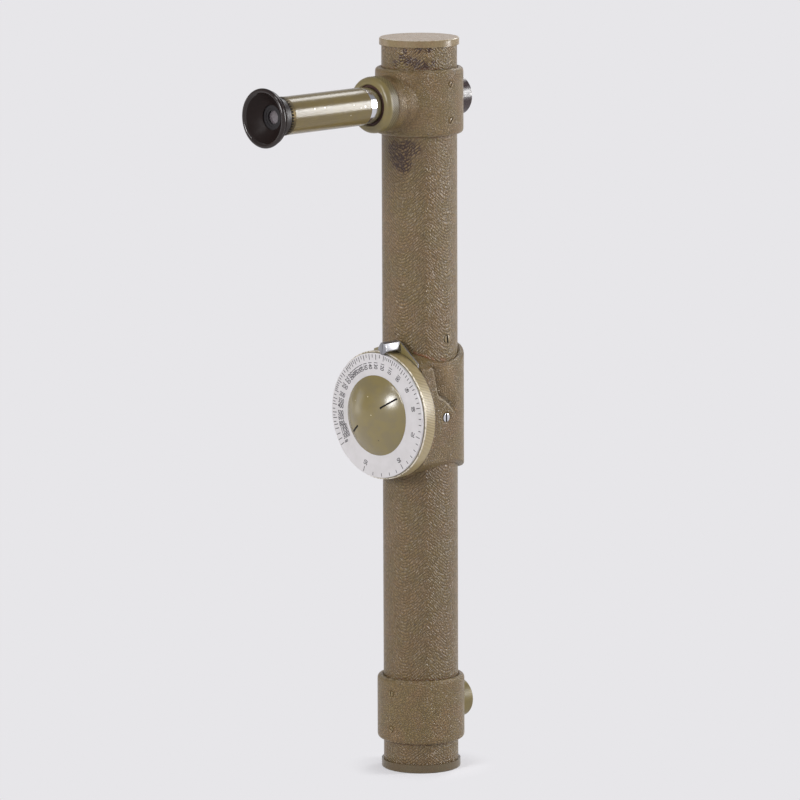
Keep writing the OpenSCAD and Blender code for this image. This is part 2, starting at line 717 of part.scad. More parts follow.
// Fixed pin in the centre housing that the dial stop meets at both ends of its turn
module limit_pin() color(steel) front(dial_z)
    rotate([0, 0, limit_pin_angle]) translate([stop_r, 0, 0])
        disc(limit_pin_r, pin_socket_rear + fit_gap / 2, web_rear - 1.5);

// Guide sleeve for the inner tube, with a flange on the boss spigot
module draw_tube_guide() color(brass) front(upper_axis_z) rotate_extrude() {
    bore = inner_tube_d / 2 + run_gap;
    flange_r = collar_thread_d / 2 - 0.2;
    polygon([
        [bore, guide_rear], [guide_r, guide_rear], [guide_r, collar_spigot_front],
        [flange_r, collar_spigot_front], [flange_r, collar_spigot_front + guide_flange_t],
        [bore, collar_spigot_front + guide_flange_t]]);
}

module upper_housing_screws() color(olive)
    at_upper_screws() slotted_screw(small_head_d, small_head_h, small_shank_d, upper_screw_len);

module lower_housing_screws() color(olive)
    at_lower_screws() slotted_screw(small_head_d, small_head_h, small_shank_d, lower_screw_len);

module centre_housing_screws() color(bright)
    at_centre_screws() slotted_screw(centre_head_d, large_head_h, large_shank_d, centre_screw_len);

module guide_plate_screws() color(olive)
    at_guide_screws() slotted_screw(guide_head_d, large_head_h, large_shank_d, guide_screw_len);

// Dial knob: rim, web and hub
module dial_knob() color(gloss_olive) front(dial_z) rotate_extrude() {
    r = dial_d / 2;
    edge = 0.5;
    polygon([
        [spindle_d / 2 + run_gap / 2, hub_rear], [dial_hub_d / 2, hub_rear],
        [dial_hub_d / 2, web_rear], [r - dial_rim_wall, web_rear], [r - dial_rim_wall, dial_rear],
        [r - edge, dial_rear], [r, dial_rear + edge], [r, dial_front - edge], [r - edge, dial_front],
        [spindle_d / 2 + run_gap / 2, dial_front]]);
}

module scale_plate() color(plate_white)
    front(dial_z) ring(scale_d / 2, nut_r + 2, dial_front, scale_front);

// Domed cap that screws on the spindle and clamps the scale plate
module dial_cap() color(gloss_olive) front(dial_z) difference() {
    union() {
        difference() {
            intersection() {
                translate([0, 0, cap_sphere_l]) sphere(r = cap_sphere_r);
                disc(dial_cap_d / 2, scale_front, scale_front + dial_cap_h + 1);
            }
            intersection() {
                translate([0, 0, cap_sphere_l]) sphere(r = cap_sphere_r - dial_cap_wall);
                disc(dial_cap_d / 2 - 2, scale_front - 1, scale_front + dial_cap_h);
            }
        }
        disc(nut_r, dial_front + nut_t + face_gap, scale_front + dial_cap_h - dial_cap_wall / 2);
    }
    disc(spindle_d / 2 + run_gap / 2, 0, spindle_front + 0.2);
    for (a = [34, 214])
        rotate([0, 0, a]) translate([cap_slot_in, -cap_slot_w / 2, scale_front])
            cube([cap_slot_out - cap_slot_in, cap_slot_w, dial_cap_h + 1]);
}

// Spindle with a groove for its clip
module dial_spindle() color(bright) front(dial_z) difference() {
    disc(spindle_d / 2, pinion_rear - 0.2, spindle_front);
    ring(spindle_d / 2 + 1, spindle_d / 2 - 0.5, clip_front - clip_t, clip_front);
}

module spindle_clip() color(steel) front(dial_z) difference() {
    ring(spindle_d / 2 + 2, spindle_d / 2 - 0.5 + run_gap / 2, clip_front - clip_t + 0.02,
        clip_front - 0.02);
    translate([-1.5, 0, clip_front - clip_t - 1]) cube([3, spindle_d + 4, clip_t + 2]);
}

module spindle_nut() color(bright) front(dial_z) difference() {
    translate([0, 0, dial_front]) cylinder(r = nut_r, h = nut_t, $fn = 6);
    disc(spindle_d / 2 + run_gap / 2, dial_front - 1, dial_front + nut_t + 1);
}

// Stop on the rear of the dial web. It meets the limit pin at both ends of the turn.
module dial_stop() color(steel) front(dial_z)
    rotate([0, 0, dial_stop_angle - stop_half_angle]) translate([0, 0, stop_rear])
        rotate_extrude(angle = 2 * stop_half_angle)
            translate([stop_r - stop_half_w, 0]) square([2 * stop_half_w, web_rear - stop_rear]);

// Involute pinion
base_r = pitch_r * cos(pressure_angle);
pinion_tip_r = pitch_r + tooth_up;
pinion_root_r = pitch_r - tooth_down;
function involute(a) = tan(a) * 180 / PI - a;
function half_tooth(r) = (tooth_pitch / 4 - backlash / 4) / pitch_r * 180 / PI
    + involute(pressure_angle) - involute(acos(min(1, base_r / r)));
function flank(sign, tooth, radii) =
    [for (r = radii) let (a = tooth + sign * half_tooth(max(r, base_r))) [r * cos(a), r * sin(a)]];
flank_radii = [for (i = [0 : 4]) base_r + (pinion_tip_r - base_r) * i / 4];
flank_up = concat([pinion_root_r], flank_radii);
flank_down = concat([for (i = [4 : -1 : 0]) flank_radii[i]], [pinion_root_r]);

module pinion() color(brass) front(dial_z) translate([0, 0, pinion_rear])
    linear_extrude(height = gear_w) difference() {
        polygon([for (i = [0 : pinion_teeth - 1])
            let (a = (i + 0.5) * 360 / pinion_teeth)
            each concat(flank(-1, a, flank_up), flank(1, a, flank_down))]);
        circle(r = spindle_d / 2 + run_gap / 2);
    }

// Rack with straight flanks at the pressure angle, facing the pinion
module rack() color(brass) difference() {
    half_mid = tooth_pitch / 4 - backlash / 4;
    tip = half_mid - tooth_up * tan(pressure_angle);
    root = half_mid + tooth_down * tan(pressure_angle);
    foot = carriage_z - dial_z - carriage_t / 2 + 1;
    top = (rack_high_teeth + 0.5) * tooth_pitch;
    front(dial_z) translate([0, 0, pinion_rear]) linear_extrude(height = gear_w)
        polygon(concat(
            [[rack_back_x, foot], [pitch_r + tooth_down, foot]],
            [for (i = [-rack_low_teeth : rack_high_teeth])
                let (z = i * tooth_pitch)
                each [[pitch_r + tooth_down, z - root], [pitch_r - tooth_up, z - tip],
                    [pitch_r - tooth_up, z + tip], [pitch_r + tooth_down, z + root]]],
            [[pitch_r + tooth_down, top], [rack_back_x, top]]));
    at_rack_screw() disc(rack_screw_d / 2 + fit_gap / 2, -rack_screw_len - 1, 1);
}

rack_screw_d = 1.6;
rack_screw_len = 7;

module at_rack_screw() {
    rear(0) translate([(pitch_r + tooth_down + rack_back_x) / 2, -carriage_z,
        -pinion_rear + 3.2]) children();
}

module rack_screws() color(steel) at_rack_screw() slotted_screw(2.6, 1, rack_screw_d, rack_screw_len);

// Carriage of the travelling wedge, with two long bushes on the rods and a lug for the rack
module wedge_carriage() color(brass) translate([0, 0, carriage_z]) difference() {
    seat_r = wedge_r + fit_gap;
    lug_x = pitch_r + tooth_down;
    bush_half = carriage_bush_h / 2;
    union() {
        disc(seat_r + 1.5 * carriage_wall, -carriage_t / 2, carriage_t / 2);
        for (s = [-1, 1]) {
            translate([s * rod_r, 0, 0]) disc(rod_d / 2 + carriage_wall, -bush_half, bush_half);
            translate([s * (rod_r - rod_d), 0, 0]) cube([2 * rod_d, gear_w, carriage_t], center = true);
        }
        translate([lug_x, -pinion_rear + run_gap, -carriage_t / 2])
            cube([rack_back_x - lug_x, 2 * carriage_wall, carriage_t]);
    }
    disc(seat_r, -carriage_t / 2 + carriage_lip, carriage_t);
    disc(wedge_r - 1, -carriage_t, carriage_t);
    for (s = [-1, 1])
        translate([s * rod_r, 0, 0]) disc(rod_d / 2 + run_gap, -carriage_bush_h, carriage_bush_h);
    translate([lug_x - rod_d, -tube_r, -carriage_t])
        cube([rack_back_x - lug_x + 2 * rod_d, tube_r - pinion_rear + run_gap, 2 * carriage_t]);
    translate([0, 0, -carriage_z]) at_rack_screw() {
        disc(rack_screw_d / 2 + fit_gap / 2, -rack_screw_len - 1, 1);
        disc(1.3 + fit_gap, -1, 10);
    }
}

// Travelling wedge: a round prism with one tilted face
module wedge_prism() color(glass_blue) translate([0, 0, carriage_z - carriage_t / 2 + carriage_lip])
    difference() {
        cylinder(r = wedge_r, h = wedge_t);
        translate([0, 0, wedge_t]) rotate([4, 0, 0]) translate([-20, -20, 0]) cube([40, 40, 10]);
    }

module wedge_ring() color(black)
    ring(wedge_r + fit_gap / 2, wedge_r - 1, carriage_z - carriage_t / 2 + carriage_lip + wedge_t,
        carriage_z - carriage_t / 2 + carriage_lip + 1 + wedge_t);

// Bright inner tube that slides in the guide
module inner_tube() color(bright) front(upper_axis_z) rotate_extrude() {
    bore = eyepiece_bore / 2;
    polygon([
        [bore, inner_tube_end], [inner_tube_d / 2, inner_tube_end], [inner_tube_d / 2, lacquer_start],
        [joint_r, lacquer_start], [joint_r, lacquer_start + joint_len], [bore, lacquer_start + joint_len]]);
}

module eyepiece_tube() color(gloss_olive) front(upper_axis_z) rotate_extrude() {
    bore = eyepiece_bore / 2;
    socket = joint_r + run_gap;
    polygon([
        [socket, lacquer_start], [eyepiece_tube_d / 2, lacquer_start],
        [eyepiece_tube_d / 2, eyepiece_tube_end], [bore, eyepiece_tube_end],
        [bore, lacquer_start + joint_len + 0.1], [socket, lacquer_start + joint_len + 0.1]]);
}

module dioptre_ring() color(black) front(upper_axis_z)
    ring(eyepiece_tube_d / 2 + 0.2, eyepiece_bore / 2 + run_gap, eyepiece_tube_end, dioptre_end);

module field_lens() color(glass_blue) front(upper_axis_z)
    lens(cell_r, inner_tube_end + 2, field_lens_t, 1.2);

module field_lens_ring() color(black) front(upper_axis_z)
    ring(cell_r, cell_r - 2, inner_tube_end + 0.5, inner_tube_end + 2);

module field_stop() color(black) front(upper_axis_z)
    ring(cell_r, cell_r - 3.5, eyepiece_tube_end - 25, eyepiece_tube_end - 23.5);

// Keyed cell that holds the eye lens and moves in and out as the eyecup turns
module ocular_cell() color(black) front(upper_axis_z) rotate_extrude() {
    seat = eye_lens_d / 2 + run_gap;
    polygon([
        [cell_r - 2, cell_rear], [cell_r, cell_rear], [cell_r, cell_front], [seat, cell_front],
        [seat, eye_lens_rear], [seat - 1.2, eye_lens_rear], [seat - 1.2, eye_lens_rear - 1.5],
        [cell_r - 2, eye_lens_rear - 1.5]]);
}

module eye_lens() color(glass_blue) front(upper_axis_z)
    lens(eye_lens_d / 2, eye_lens_rear, eye_lens_t, 0.8);

module eye_lens_ring() color(black) front(upper_axis_z)
    ring(eye_lens_d / 2 + run_gap / 2, eye_lens_d / 2 - 1.5, eye_lens_rear + eye_lens_t,
        eye_lens_rear + eye_lens_t + 1.2);

// Eyecup: neck, stepped flare, rounded rim and conical inside
module eyecup() color(black) front(upper_axis_z) rotate_extrude() {
    neck = eyecup_neck_d / 2;
    rim = eyecup_rim_d / 2;
    flare = rim - neck;
    bore = eyepiece_bore / 2 + run_gap;
    web_z = cell_front + 0.2;
    z = eyecup_front;
    polygon(concat(
        [[bore, eyecup_rear], [neck, eyecup_rear], [neck, z - 11.1]],
        arc(neck + flare * 0.5, z - 11.1, flare * 0.5, 180, 130, 4),
        [[neck + flare * 0.55, z - 6.8], [neck + flare * 0.55, z - 6],
         [neck + flare * 0.82, z - 5], [neck + flare * 0.82, z - 4.2]],
        arc(rim - 1.5, z - 1.7, 1.5, -50, 140),
        [[sight_hole_d / 2, z - 8.5], [sight_hole_d / 2, web_z], [bore, web_z]]));
}

// Clamp collar with a front lip
module eyepiece_collar() color(gloss_olive) front(upper_axis_z) rotate_extrude() {
    r = collar_d / 2;
    bore = collar_thread_d / 2 + run_gap;
    lip = collar_lip_bore / 2;
    polygon([
        [bore, collar_rear], [r - 0.4, collar_rear], [r, collar_rear + 0.4], [r, collar_rear + 6.5],
        [r - 1.2, collar_rear + 8.1], [r - 2.8, collar_rear + 9.2], [lip + 0.8, collar_front],
        [lip, collar_front - 0.5], [lip, collar_front - collar_lip_t],
        [bore, collar_front - collar_lip_t]]);
}

main_tube();
top_cap();
bottom_cap();
upper_housing();
centre_housing();
lower_housing();
upper_window_ring();
upper_window_glass();
upper_glass_ring();
upper_objective();
lower_window_ring();
lower_window_glass();
lower_glass_ring();
lower_prism();
lower_prism_cradle();
lower_objective_cell();
lower_objective();
combining_prism();
combining_cover_prism();
combiner_cradle();
guide_plate_upper();
guide_plate_lower();
guide_rods();
spindle_bush();
friction_washer();
index_bracket();
limit_pin();
draw_tube_guide();
upper_housing_screws();
lower_housing_screws();
centre_housing_screws();
guide_plate_screws();
bracket_screws();
dial_knob();
scale_plate();
dial_cap();
dial_spindle();
pinion();
dial_stop();
spindle_nut();
spindle_clip();
wedge_carriage();
wedge_prism();
wedge_ring();
rack();
rack_screws();
inner_tube();
eyepiece_tube();
dioptre_ring();
field_lens();
field_lens_ring();
field_stop();
ocular_cell();
eye_lens();
eye_lens_ring();
eyecup();
eyepiece_collar();
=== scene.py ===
"""Looks for the coincidence rangefinder. Lengths are in millimetres until they reach Blender."""
import math

import bmesh
import bpy
from mathutils import Matrix, Vector


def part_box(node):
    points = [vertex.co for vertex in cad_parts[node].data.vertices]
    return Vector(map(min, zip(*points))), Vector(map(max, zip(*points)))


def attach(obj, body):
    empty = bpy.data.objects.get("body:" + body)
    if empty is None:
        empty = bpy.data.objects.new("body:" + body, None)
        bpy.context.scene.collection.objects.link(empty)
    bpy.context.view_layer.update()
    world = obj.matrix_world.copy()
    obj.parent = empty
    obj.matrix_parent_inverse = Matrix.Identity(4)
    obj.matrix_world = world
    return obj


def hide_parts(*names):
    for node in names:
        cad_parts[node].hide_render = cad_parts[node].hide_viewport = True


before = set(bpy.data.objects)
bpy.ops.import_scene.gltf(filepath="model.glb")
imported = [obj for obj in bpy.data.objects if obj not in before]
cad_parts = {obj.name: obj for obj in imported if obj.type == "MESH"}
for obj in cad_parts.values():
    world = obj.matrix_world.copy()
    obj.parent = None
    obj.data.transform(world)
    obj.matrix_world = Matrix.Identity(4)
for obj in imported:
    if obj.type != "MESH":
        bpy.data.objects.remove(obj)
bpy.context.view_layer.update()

MM = 0.001


# Sizes taken from the frame, in millimetres
def low(node, axis):
    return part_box(node)[0][axis] / MM


def high(node, axis):
    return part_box(node)[1][axis] / MM


def middle(node, axis):
    return (low(node, axis) + high(node, axis)) / 2


TUBE_R = high("main_tube", 0)
TUBE_LOW = low("main_tube", 2)
SLEEVE_R = high("upper_housing", 0)
UPPER_LOW = low("upper_housing", 2)
UPPER_TOP = high("upper_housing", 2)
LOWER_LOW = low("lower_housing", 2)
LOWER_TOP = high("lower_housing", 2)
UPPER_AXIS = middle("eyepiece_tube", 2)
LOWER_AXIS = middle("lower_window_ring", 2)
DIAL_AXIS = middle("dial_knob", 2)
DIAL_R = high("dial_knob", 0)
DIAL_REAR = -high("dial_stop", 1) - 1.5
DIAL_FRONT = -low("dial_knob", 1)
DIAL_WEB = -low("dial_stop", 1)
HUB_REAR = -high("dial_knob", 1)
SCALE_R = high("scale_plate", 0)
SCALE_FRONT = -low("scale_plate", 1)
CAP_R = high("dial_cap", 0)
CAP_FRONT = -low("dial_cap", 1)
BOSS_FRONT = -high("index_bracket", 1)
INDEX_FRONT = -low("index_bracket", 1)
COLLAR_REAR = -high("eyepiece_collar", 1)
COLLAR_FRONT = -low("eyepiece_collar", 1)
COLLAR_R = high("eyepiece_collar", 0)
LACQUER_START = -high("eyepiece_tube", 1)
LACQUER_END = -low("eyepiece_tube", 1)
LACQUER_R = high("eyepiece_tube", 0)
EYECUP_REAR = -high("eyecup", 1)
EYECUP_FRONT = -low("eyecup", 1)
EYECUP_RIM = high("eyecup", 0)
TOTAL_H = high("top_cap", 2)
CAP_DISC_R = high("top_cap", 0)

# Look sizes, in millimetres and degrees, and counts. CHEVRON_ROUND is in radians
RIM_WALL = 5
RIM_TEETH = 250
RIM_TOOTH = 0.07
COLLAR_TEETH = 72
COLLAR_TOOTH = 0.45
COLLAR_BORE = 13.3
INDEX_TURN = 9
SLOT_TURN = 34
CAST_VOXEL = 0.55
CHEVRONS = 5
CHEVRON_LOW = 17
CHEVRON_ROUND = 0.16
INK_LIFT = 0.012
CHIP_BALL = 42

# The scoop above a screw pad lies inside a leaning line and a curved foot, each through a point (Y, Z)
SCOOP_DEPTH = 1.9
SCOOP_TOP = DIAL_AXIS + 31.6
SCOOP_SIDE = 23
LINE_Y = -16.3
LINE_Z = DIAL_AXIS + 28.1
LINE_LEAN = 0.266
FOOT_Y = -12.1
FOOT_Z = DIAL_AXIS + 12.3
FOOT_DROP = 0.45
FOOT_CURVE = 0.028
FOOT_SLANT = 0.8


# Places in the part's frame
def turned(degrees, axis="Z"):
    return Matrix.Rotation(math.radians(degrees), 4, axis)


def front_at(z, turn=0):
    """Local +Z points along -Y, and local +Y up. A positive turn is clockwise in the front view."""
    return Matrix.Translation((0, 0, z * MM)) @ turned(90, "X") @ turned(-turn)


def around_tube(turn, z, radius):
    """A place on the tube's side. The turn runs from -Y towards +X, and local +Z points outwards."""
    out = Matrix.Translation((0, 0, radius * MM))
    return Matrix.Translation((0, 0, z * MM)) @ turned(turn) @ turned(90, "X") @ out


# Node trees
class Nodes:
    """Short calls for the nodes that the finishes, the floor and the world share."""

    def __init__(self, tree):
        self.tree = tree

    def node(self, kind, inputs=None, **settings):
        made = self.tree.nodes.new(kind)
        for key, value in settings.items():
            setattr(made, key, value)
        for key, value in (inputs or {}).items():
            self.feed(made.inputs[key], value)
        return made.outputs

    def feed(self, socket, value):
        if isinstance(value, bpy.types.NodeSocket):
            self.tree.links.new(value, socket)
        else:
            socket.default_value = value

    def math(self, operation, a, b=0.0, clamp=False):
        return self.node("ShaderNodeMath", {0: a, 1: b}, operation=operation, use_clamp=clamp)[0]

    def times(self, *factors):
        product = factors[0]
        for factor in factors[1:]:
            product = self.math("MULTIPLY", product, factor)
        return product

    def vector(self, operation, a, b=None, scale=None):
        inputs = {key: value for key, value in ((0, a), (1, b), (3, scale)) if value is not None}
        made = self.node("ShaderNodeVectorMath", inputs, operation=operation)
        return made["Value" if operation in ("LENGTH", "DISTANCE", "DOT_PRODUCT") else "Vector"]

    def spread(self, value, start, end, low_out=0.0, high_out=1.0):
        """Smooth step from start to end."""
        return self.node("ShaderNodeMapRange", {
            "Value": value, "From Min": start, "From Max": end, "To Min": low_out, "To Max": high_out},
            interpolation_type="SMOOTHSTEP")[0]

    def mix(self, share, first, second):
        """Colour mix. The share is how much of the second colour shows."""
        return self.node("ShaderNodeMix", {0: share, 6: first, 7: second}, data_type="RGBA")[2]


class Finish(Nodes):
    """A Principled material, with the patterns that several finishes share.
    Texture coordinates are the part's frame in millimetres, so that they stay on the piece."""

    def __init__(self, name, roughness, metallic=0.0, shine=0.5, sockets=None):
        self.material = bpy.data.materials.new(name)
        self.material.use_nodes = True
        super().__init__(self.material.node_tree)
        self.shader = self.tree.nodes["Principled BSDF"]
        self.shader.inputs["Roughness"].default_value = roughness
        self.shader.inputs["Metallic"].default_value = metallic
        self.shader.inputs["Specular IOR Level"].default_value = shine
        for key, value in (sockets or {}).items():
            self.shader.inputs[key].default_value = value
        here = self.node("ShaderNodeTexCoord")["Object"]
        self.place = self.vector("SCALE", here, scale=1 / MM)
        self.split = self.node("ShaderNodeSeparateXYZ", {0: self.place})

    def to(self, socket, value):
        self.feed(self.shader.inputs[socket], value)

    def noise(self, size, detail=3.0, rough=0.6, vector=None, color=False):
        """Soft noise whose spots are about that many millimetres across."""
        made = self.node("ShaderNodeTexNoise", {
            "Vector": vector or self.place, "Scale": 1 / size, "Detail": detail, "Roughness": rough})
        return made[1] if color else made[0]

    def borders(self, vector):
        """Distance to the nearest border between cells that are about 1 across."""
        return self.node("ShaderNodeTexVoronoi", {"Vector": vector, "Scale": 1.0},
                         feature="DISTANCE_TO_EDGE")["Distance"]

    def warp(self, size, amount, vector=None):
        """The place, pushed about by a soft noise of that size."""
        base = vector or self.place
        push = self.vector("SUBTRACT", self.noise(size, 1.0, 0.5, base, color=True), (0.5, 0.5, 0.5))
        return self.vector("ADD", base, self.vector("SCALE", push, scale=2 * amount))

    def from_axis(self, z):
        """Distance from an axis along Y at that height."""
        offset = self.vector("SUBTRACT", self.place, (0, 0, z))
        return self.vector("LENGTH", self.vector("MULTIPLY", offset, (1, 0, 1)))

    def near(self, centre, radius):
        """1 around a point, falling to 0 at that distance from it."""
        return self.spread(self.vector("DISTANCE", self.place, centre), radius, 0.35 * radius)

    def patch(self, spots):
        """The strongest of several spots. A spot is (point, radius, strength)."""
        strongest = 0.0
        for centre, radius, strength in spots:
            strongest = self.math("MAXIMUM", self.times(self.near(centre, radius), strength), strongest)
        return strongest

    def ragged(self, share, size):
        """A soft share broken into specks: few where it is low, and close together where it is near 1."""
        specks = self.noise(size, 3.0, 0.65)
        return self.spread(self.math("ADD", specks, self.times(share, 0.15)), 0.655, 0.705)

    def bump(self, height, depth):
        """Relief of that depth in millimetres, for a height that runs from 0 to 1."""
        normal = self.node("ShaderNodeBump", {"Height": height, "Distance": depth * MM, "Strength": 1.0})[0]
        self.to("Normal", normal)


def on_tube(turn, z, radius):
    """A point at that turn from -Y towards +X, in millimetres."""
    angle = math.radians(turn)
    return (radius * math.sin(angle), -radius * math.cos(angle), z)


OLIVE = (0.176, 0.116, 0.046, 1)
OLIVE_RED = (0.188, 0.116, 0.050, 1)
OLIVE_GREEN = (0.166, 0.116, 0.042, 1)
# Olive colours for painted shade and painted light
OLIVE_PAINTED_SHADE = (0.062, 0.038, 0.015, 1)
OLIVE_PAINTED_LIGHT = (0.270, 0.190, 0.095, 1)
OLIVE_SMOOTH = (0.198, 0.145, 0.070, 1)
OLIVE_RUDDY = (0.200, 0.136, 0.066, 1)
OLIVE_GLOSS = (0.182, 0.142, 0.052, 1)
DARK = (0.040, 0.017, 0.009, 1)
PURPLE_BROWN = (0.105, 0.060, 0.034, 1)
RUST = (0.225, 0.088, 0.034, 1)
STAIN = (0.120, 0.056, 0.022, 1)
BARE = (0.400, 0.330, 0.230, 1)
BRASS = (0.560, 0.410, 0.190, 1)
DUST = (0.16, 0.14, 0.13, 1)


def dimmed(color, share):
    return tuple(share * c for c in color[:3]) + (1,)


def chevrons(finish, slope):
    """The place, with its height moved around the tube so that level folds become chevrons."""
    x, y, z = (finish.split[axis] for axis in "XYZ")
    turn = finish.math("ARCTAN2", x, finish.times(y, -1))
    from_low = finish.math("SUBTRACT", turn, math.radians(CHEVRON_LOW))
    side = finish.math("PINGPONG", from_low, math.pi / CHEVRONS)
    rounded = finish.math("SQRT", finish.math("ADD", finish.times(side, side), CHEVRON_ROUND ** 2))
    fall = finish.times(rounded, slope * TUBE_R)
    return finish.node("ShaderNodeCombineXYZ", {0: x, 1: y, 2: finish.math("SUBTRACT", z, fall)})[0]


def grained_lacquer(name, across, along, depth, slope, crest, wear):
    """Olive lacquer over leathery grain, with scales of that width and length and relief in millimetres.
    A slope lays them in chevron rows, crest is how far a painted highlight pales the tops,
    creases get painted shade, and wear(finish, colour) adds marks."""
    finish = Finish(name, 0.4, shine=0.45)
    flow = finish.warp(11, 1.6, chevrons(finish, slope) if slope else None)
    flow = finish.vector("DIVIDE", finish.warp(2.0, 0.45, flow), (along, along, across))
    border = finish.borders(flow)
    scale = finish.spread(border, 0.0, 0.26)
    fine = finish.noise(0.4, vector=flow)
    if slope:
        level = finish.node("ShaderNodeSeparateXYZ", {0: flow})["Z"]
        row = finish.spread(finish.times(finish.math("PINGPONG", level, 0.5), 2), 0.1, 0.8)
        scale = finish.math("ADD", finish.times(scale, 0.6), finish.times(row, 0.4))
        border = finish.math("MINIMUM", border, finish.times(row, 0.45))
    height = finish.math("ADD", finish.times(scale, 0.78), finish.times(fine, 0.35))
    crease_shade = finish.spread(border, 0.15, 0.02)
    tone = finish.noise(16, 3.0, 0.55)
    color = finish.mix(finish.spread(tone, 0.40, 0.60), OLIVE_GREEN, OLIVE_RED)
    color = finish.mix(finish.spread(finish.noise(5), 0.42, 0.62, 0.1, 0.7), color, OLIVE)
    # Painted highlight on the tops of the scales, then painted shade in the creases
    color = finish.mix(finish.spread(height, 0.45, 0.85, 0.0, crest), color, OLIVE_PAINTED_LIGHT)
    color = finish.mix(finish.times(crease_shade, finish.spread(fine, 0.30, 0.60, 0.3, 0.75)), color, OLIVE_PAINTED_SHADE)
    finish.border = border  # tube_wear reads it
    finish.to("Base Color", wear(finish, color))
    finish.to("Roughness", finish.spread(fine, 0.3, 0.7, 0.29, 0.39))
    finish.bump(height, depth)
    return finish.material


def stained_edge(finish, level, up, width):
    """1 along a junction at that height, on its upper or lower side."""
    away = finish.times(finish.math("SUBTRACT", finish.split["Z"], level), up)
    return finish.times(finish.spread(away, width, 0.1), finish.spread(away, -0.5, 0.0),
                        finish.spread(finish.noise(5, 3.0, 0.7), 0.40, 0.60))


def tube_wear(finish, color):
    """Marks on the main tube: dark patches of lost paint, painted shade that darkens the lower half, rust and
    stained junctions.
    """
    share = finish.patch(WORN_SPOTS)
    color = finish.mix(finish.times(share, 0.1), color, PURPLE_BROWN)
    cracks = finish.times(finish.spread(finish.border, 0.15, 0.06), finish.spread(share, 0.15, 0.6))
    color = finish.mix(finish.math("MAXIMUM", finish.ragged(share, 1.5), cracks), color, DARK)
    z = finish.split["Z"]
    # Painted shade: the tube gets darker towards the bottom
    color = finish.mix(finish.spread(z, DIAL_AXIS, DIAL_AXIS - 60, 0.0, 0.14), color, OLIVE_PAINTED_SHADE)
    rust = finish.times(finish.spread(finish.from_axis(DIAL_AXIS), DIAL_R + 1.9, DIAL_R + 0.2),
                        finish.spread(finish.split["Y"], 4.0, -9.0),
                        finish.spread(finish.noise(4, 3.0, 0.7), 0.40, 0.55),
                        finish.spread(z, DIAL_AXIS, DIAL_AXIS + 5))
    color = finish.mix(rust, color, RUST)
    for level, up, width in JUNCTIONS:
        color = finish.mix(finish.times(stained_edge(finish, level, up, width), 0.8), color, STAIN)
    return color


def scoop_wear(finish, color):
    """Painted shade just inside the scoop's outline, painted light further in, and a pale ridge along it,
    partly rubbed lacquer and partly a painted highlight.
    """
    x, y, z = (finish.split[axis] for axis in "XYZ")
    lean = finish.math("ADD", finish.math("SUBTRACT", y, LINE_Y),
                       finish.times(finish.math("SUBTRACT", z, LINE_Z), LINE_LEAN))
    along = finish.math("MAXIMUM", finish.math("SUBTRACT", y, FOOT_Y), 0.0)
    sag = finish.math("ADD", finish.times(along, FOOT_DROP), finish.times(along, along, FOOT_CURVE))
    foot = finish.times(finish.math("ADD", finish.math("SUBTRACT", z, FOOT_Z), sag), FOOT_SLANT)
    into = finish.math("MINIMUM", lean, foot)
    beside = finish.times(finish.spread(finish.math("ABSOLUTE", x), SCOOP_SIDE - 3, SCOOP_SIDE),
                          finish.spread(z, SCOOP_TOP + 0.5, SCOOP_TOP - 1.5), finish.spread(y, 3, -1))
    # Painted shade just inside the scoop's outline
    hollow_shade = finish.times(beside, finish.spread(into, 0.0, 0.9), finish.spread(into, 5.5, 1.2))
    color = finish.mix(finish.times(hollow_shade, 0.55), color, OLIVE_PAINTED_SHADE)
    # Painted light further inside the scoop
    pale = finish.times(beside, finish.spread(into, 2.5, 5.5))
    color = finish.mix(finish.times(pale, 0.4), color, OLIVE_PAINTED_LIGHT)
    # The pale ridge is partly rubbed lacquer and partly a painted highlight
    off_ridge = finish.math("ABSOLUTE", finish.math("ADD", into, 0.7))
    return finish.mix(finish.times(beside, finish.spread(off_ridge, 1.0, 0.2), 0.5), color, BARE)


def housing_wear(finish, color):
    """Marks on the cast housings: pale spots near the eyepiece, partly rubbed and partly a painted highlight,
    pale edges, the scoop's painted shade and light, and dark specks.
    """
    # Pale spots, partly rubbed to the metal and partly a painted highlight
    color = finish.mix(finish.ragged(finish.patch(RUBBED_AND_HIGHLIGHT_SPOTS), 0.8), color, BARE)
    for level in CAST_ENDS:
        away = finish.math("ABSOLUTE", finish.math("SUBTRACT", finish.split["Z"], level))
        broken = finish.spread(finish.noise(2.5, 3.0, 0.7), 0.40, 0.62)
        color = finish.mix(finish.times(finish.spread(away, 1.6, 0.2), broken, 0.45), color, BARE)
    color = scoop_wear(finish, color)
    specks = finish.spread(finish.noise(1.9, 2.0, 0.5), 0.69, 0.74)
    return finish.mix(finish.times(specks, 0.7), color, DARK)


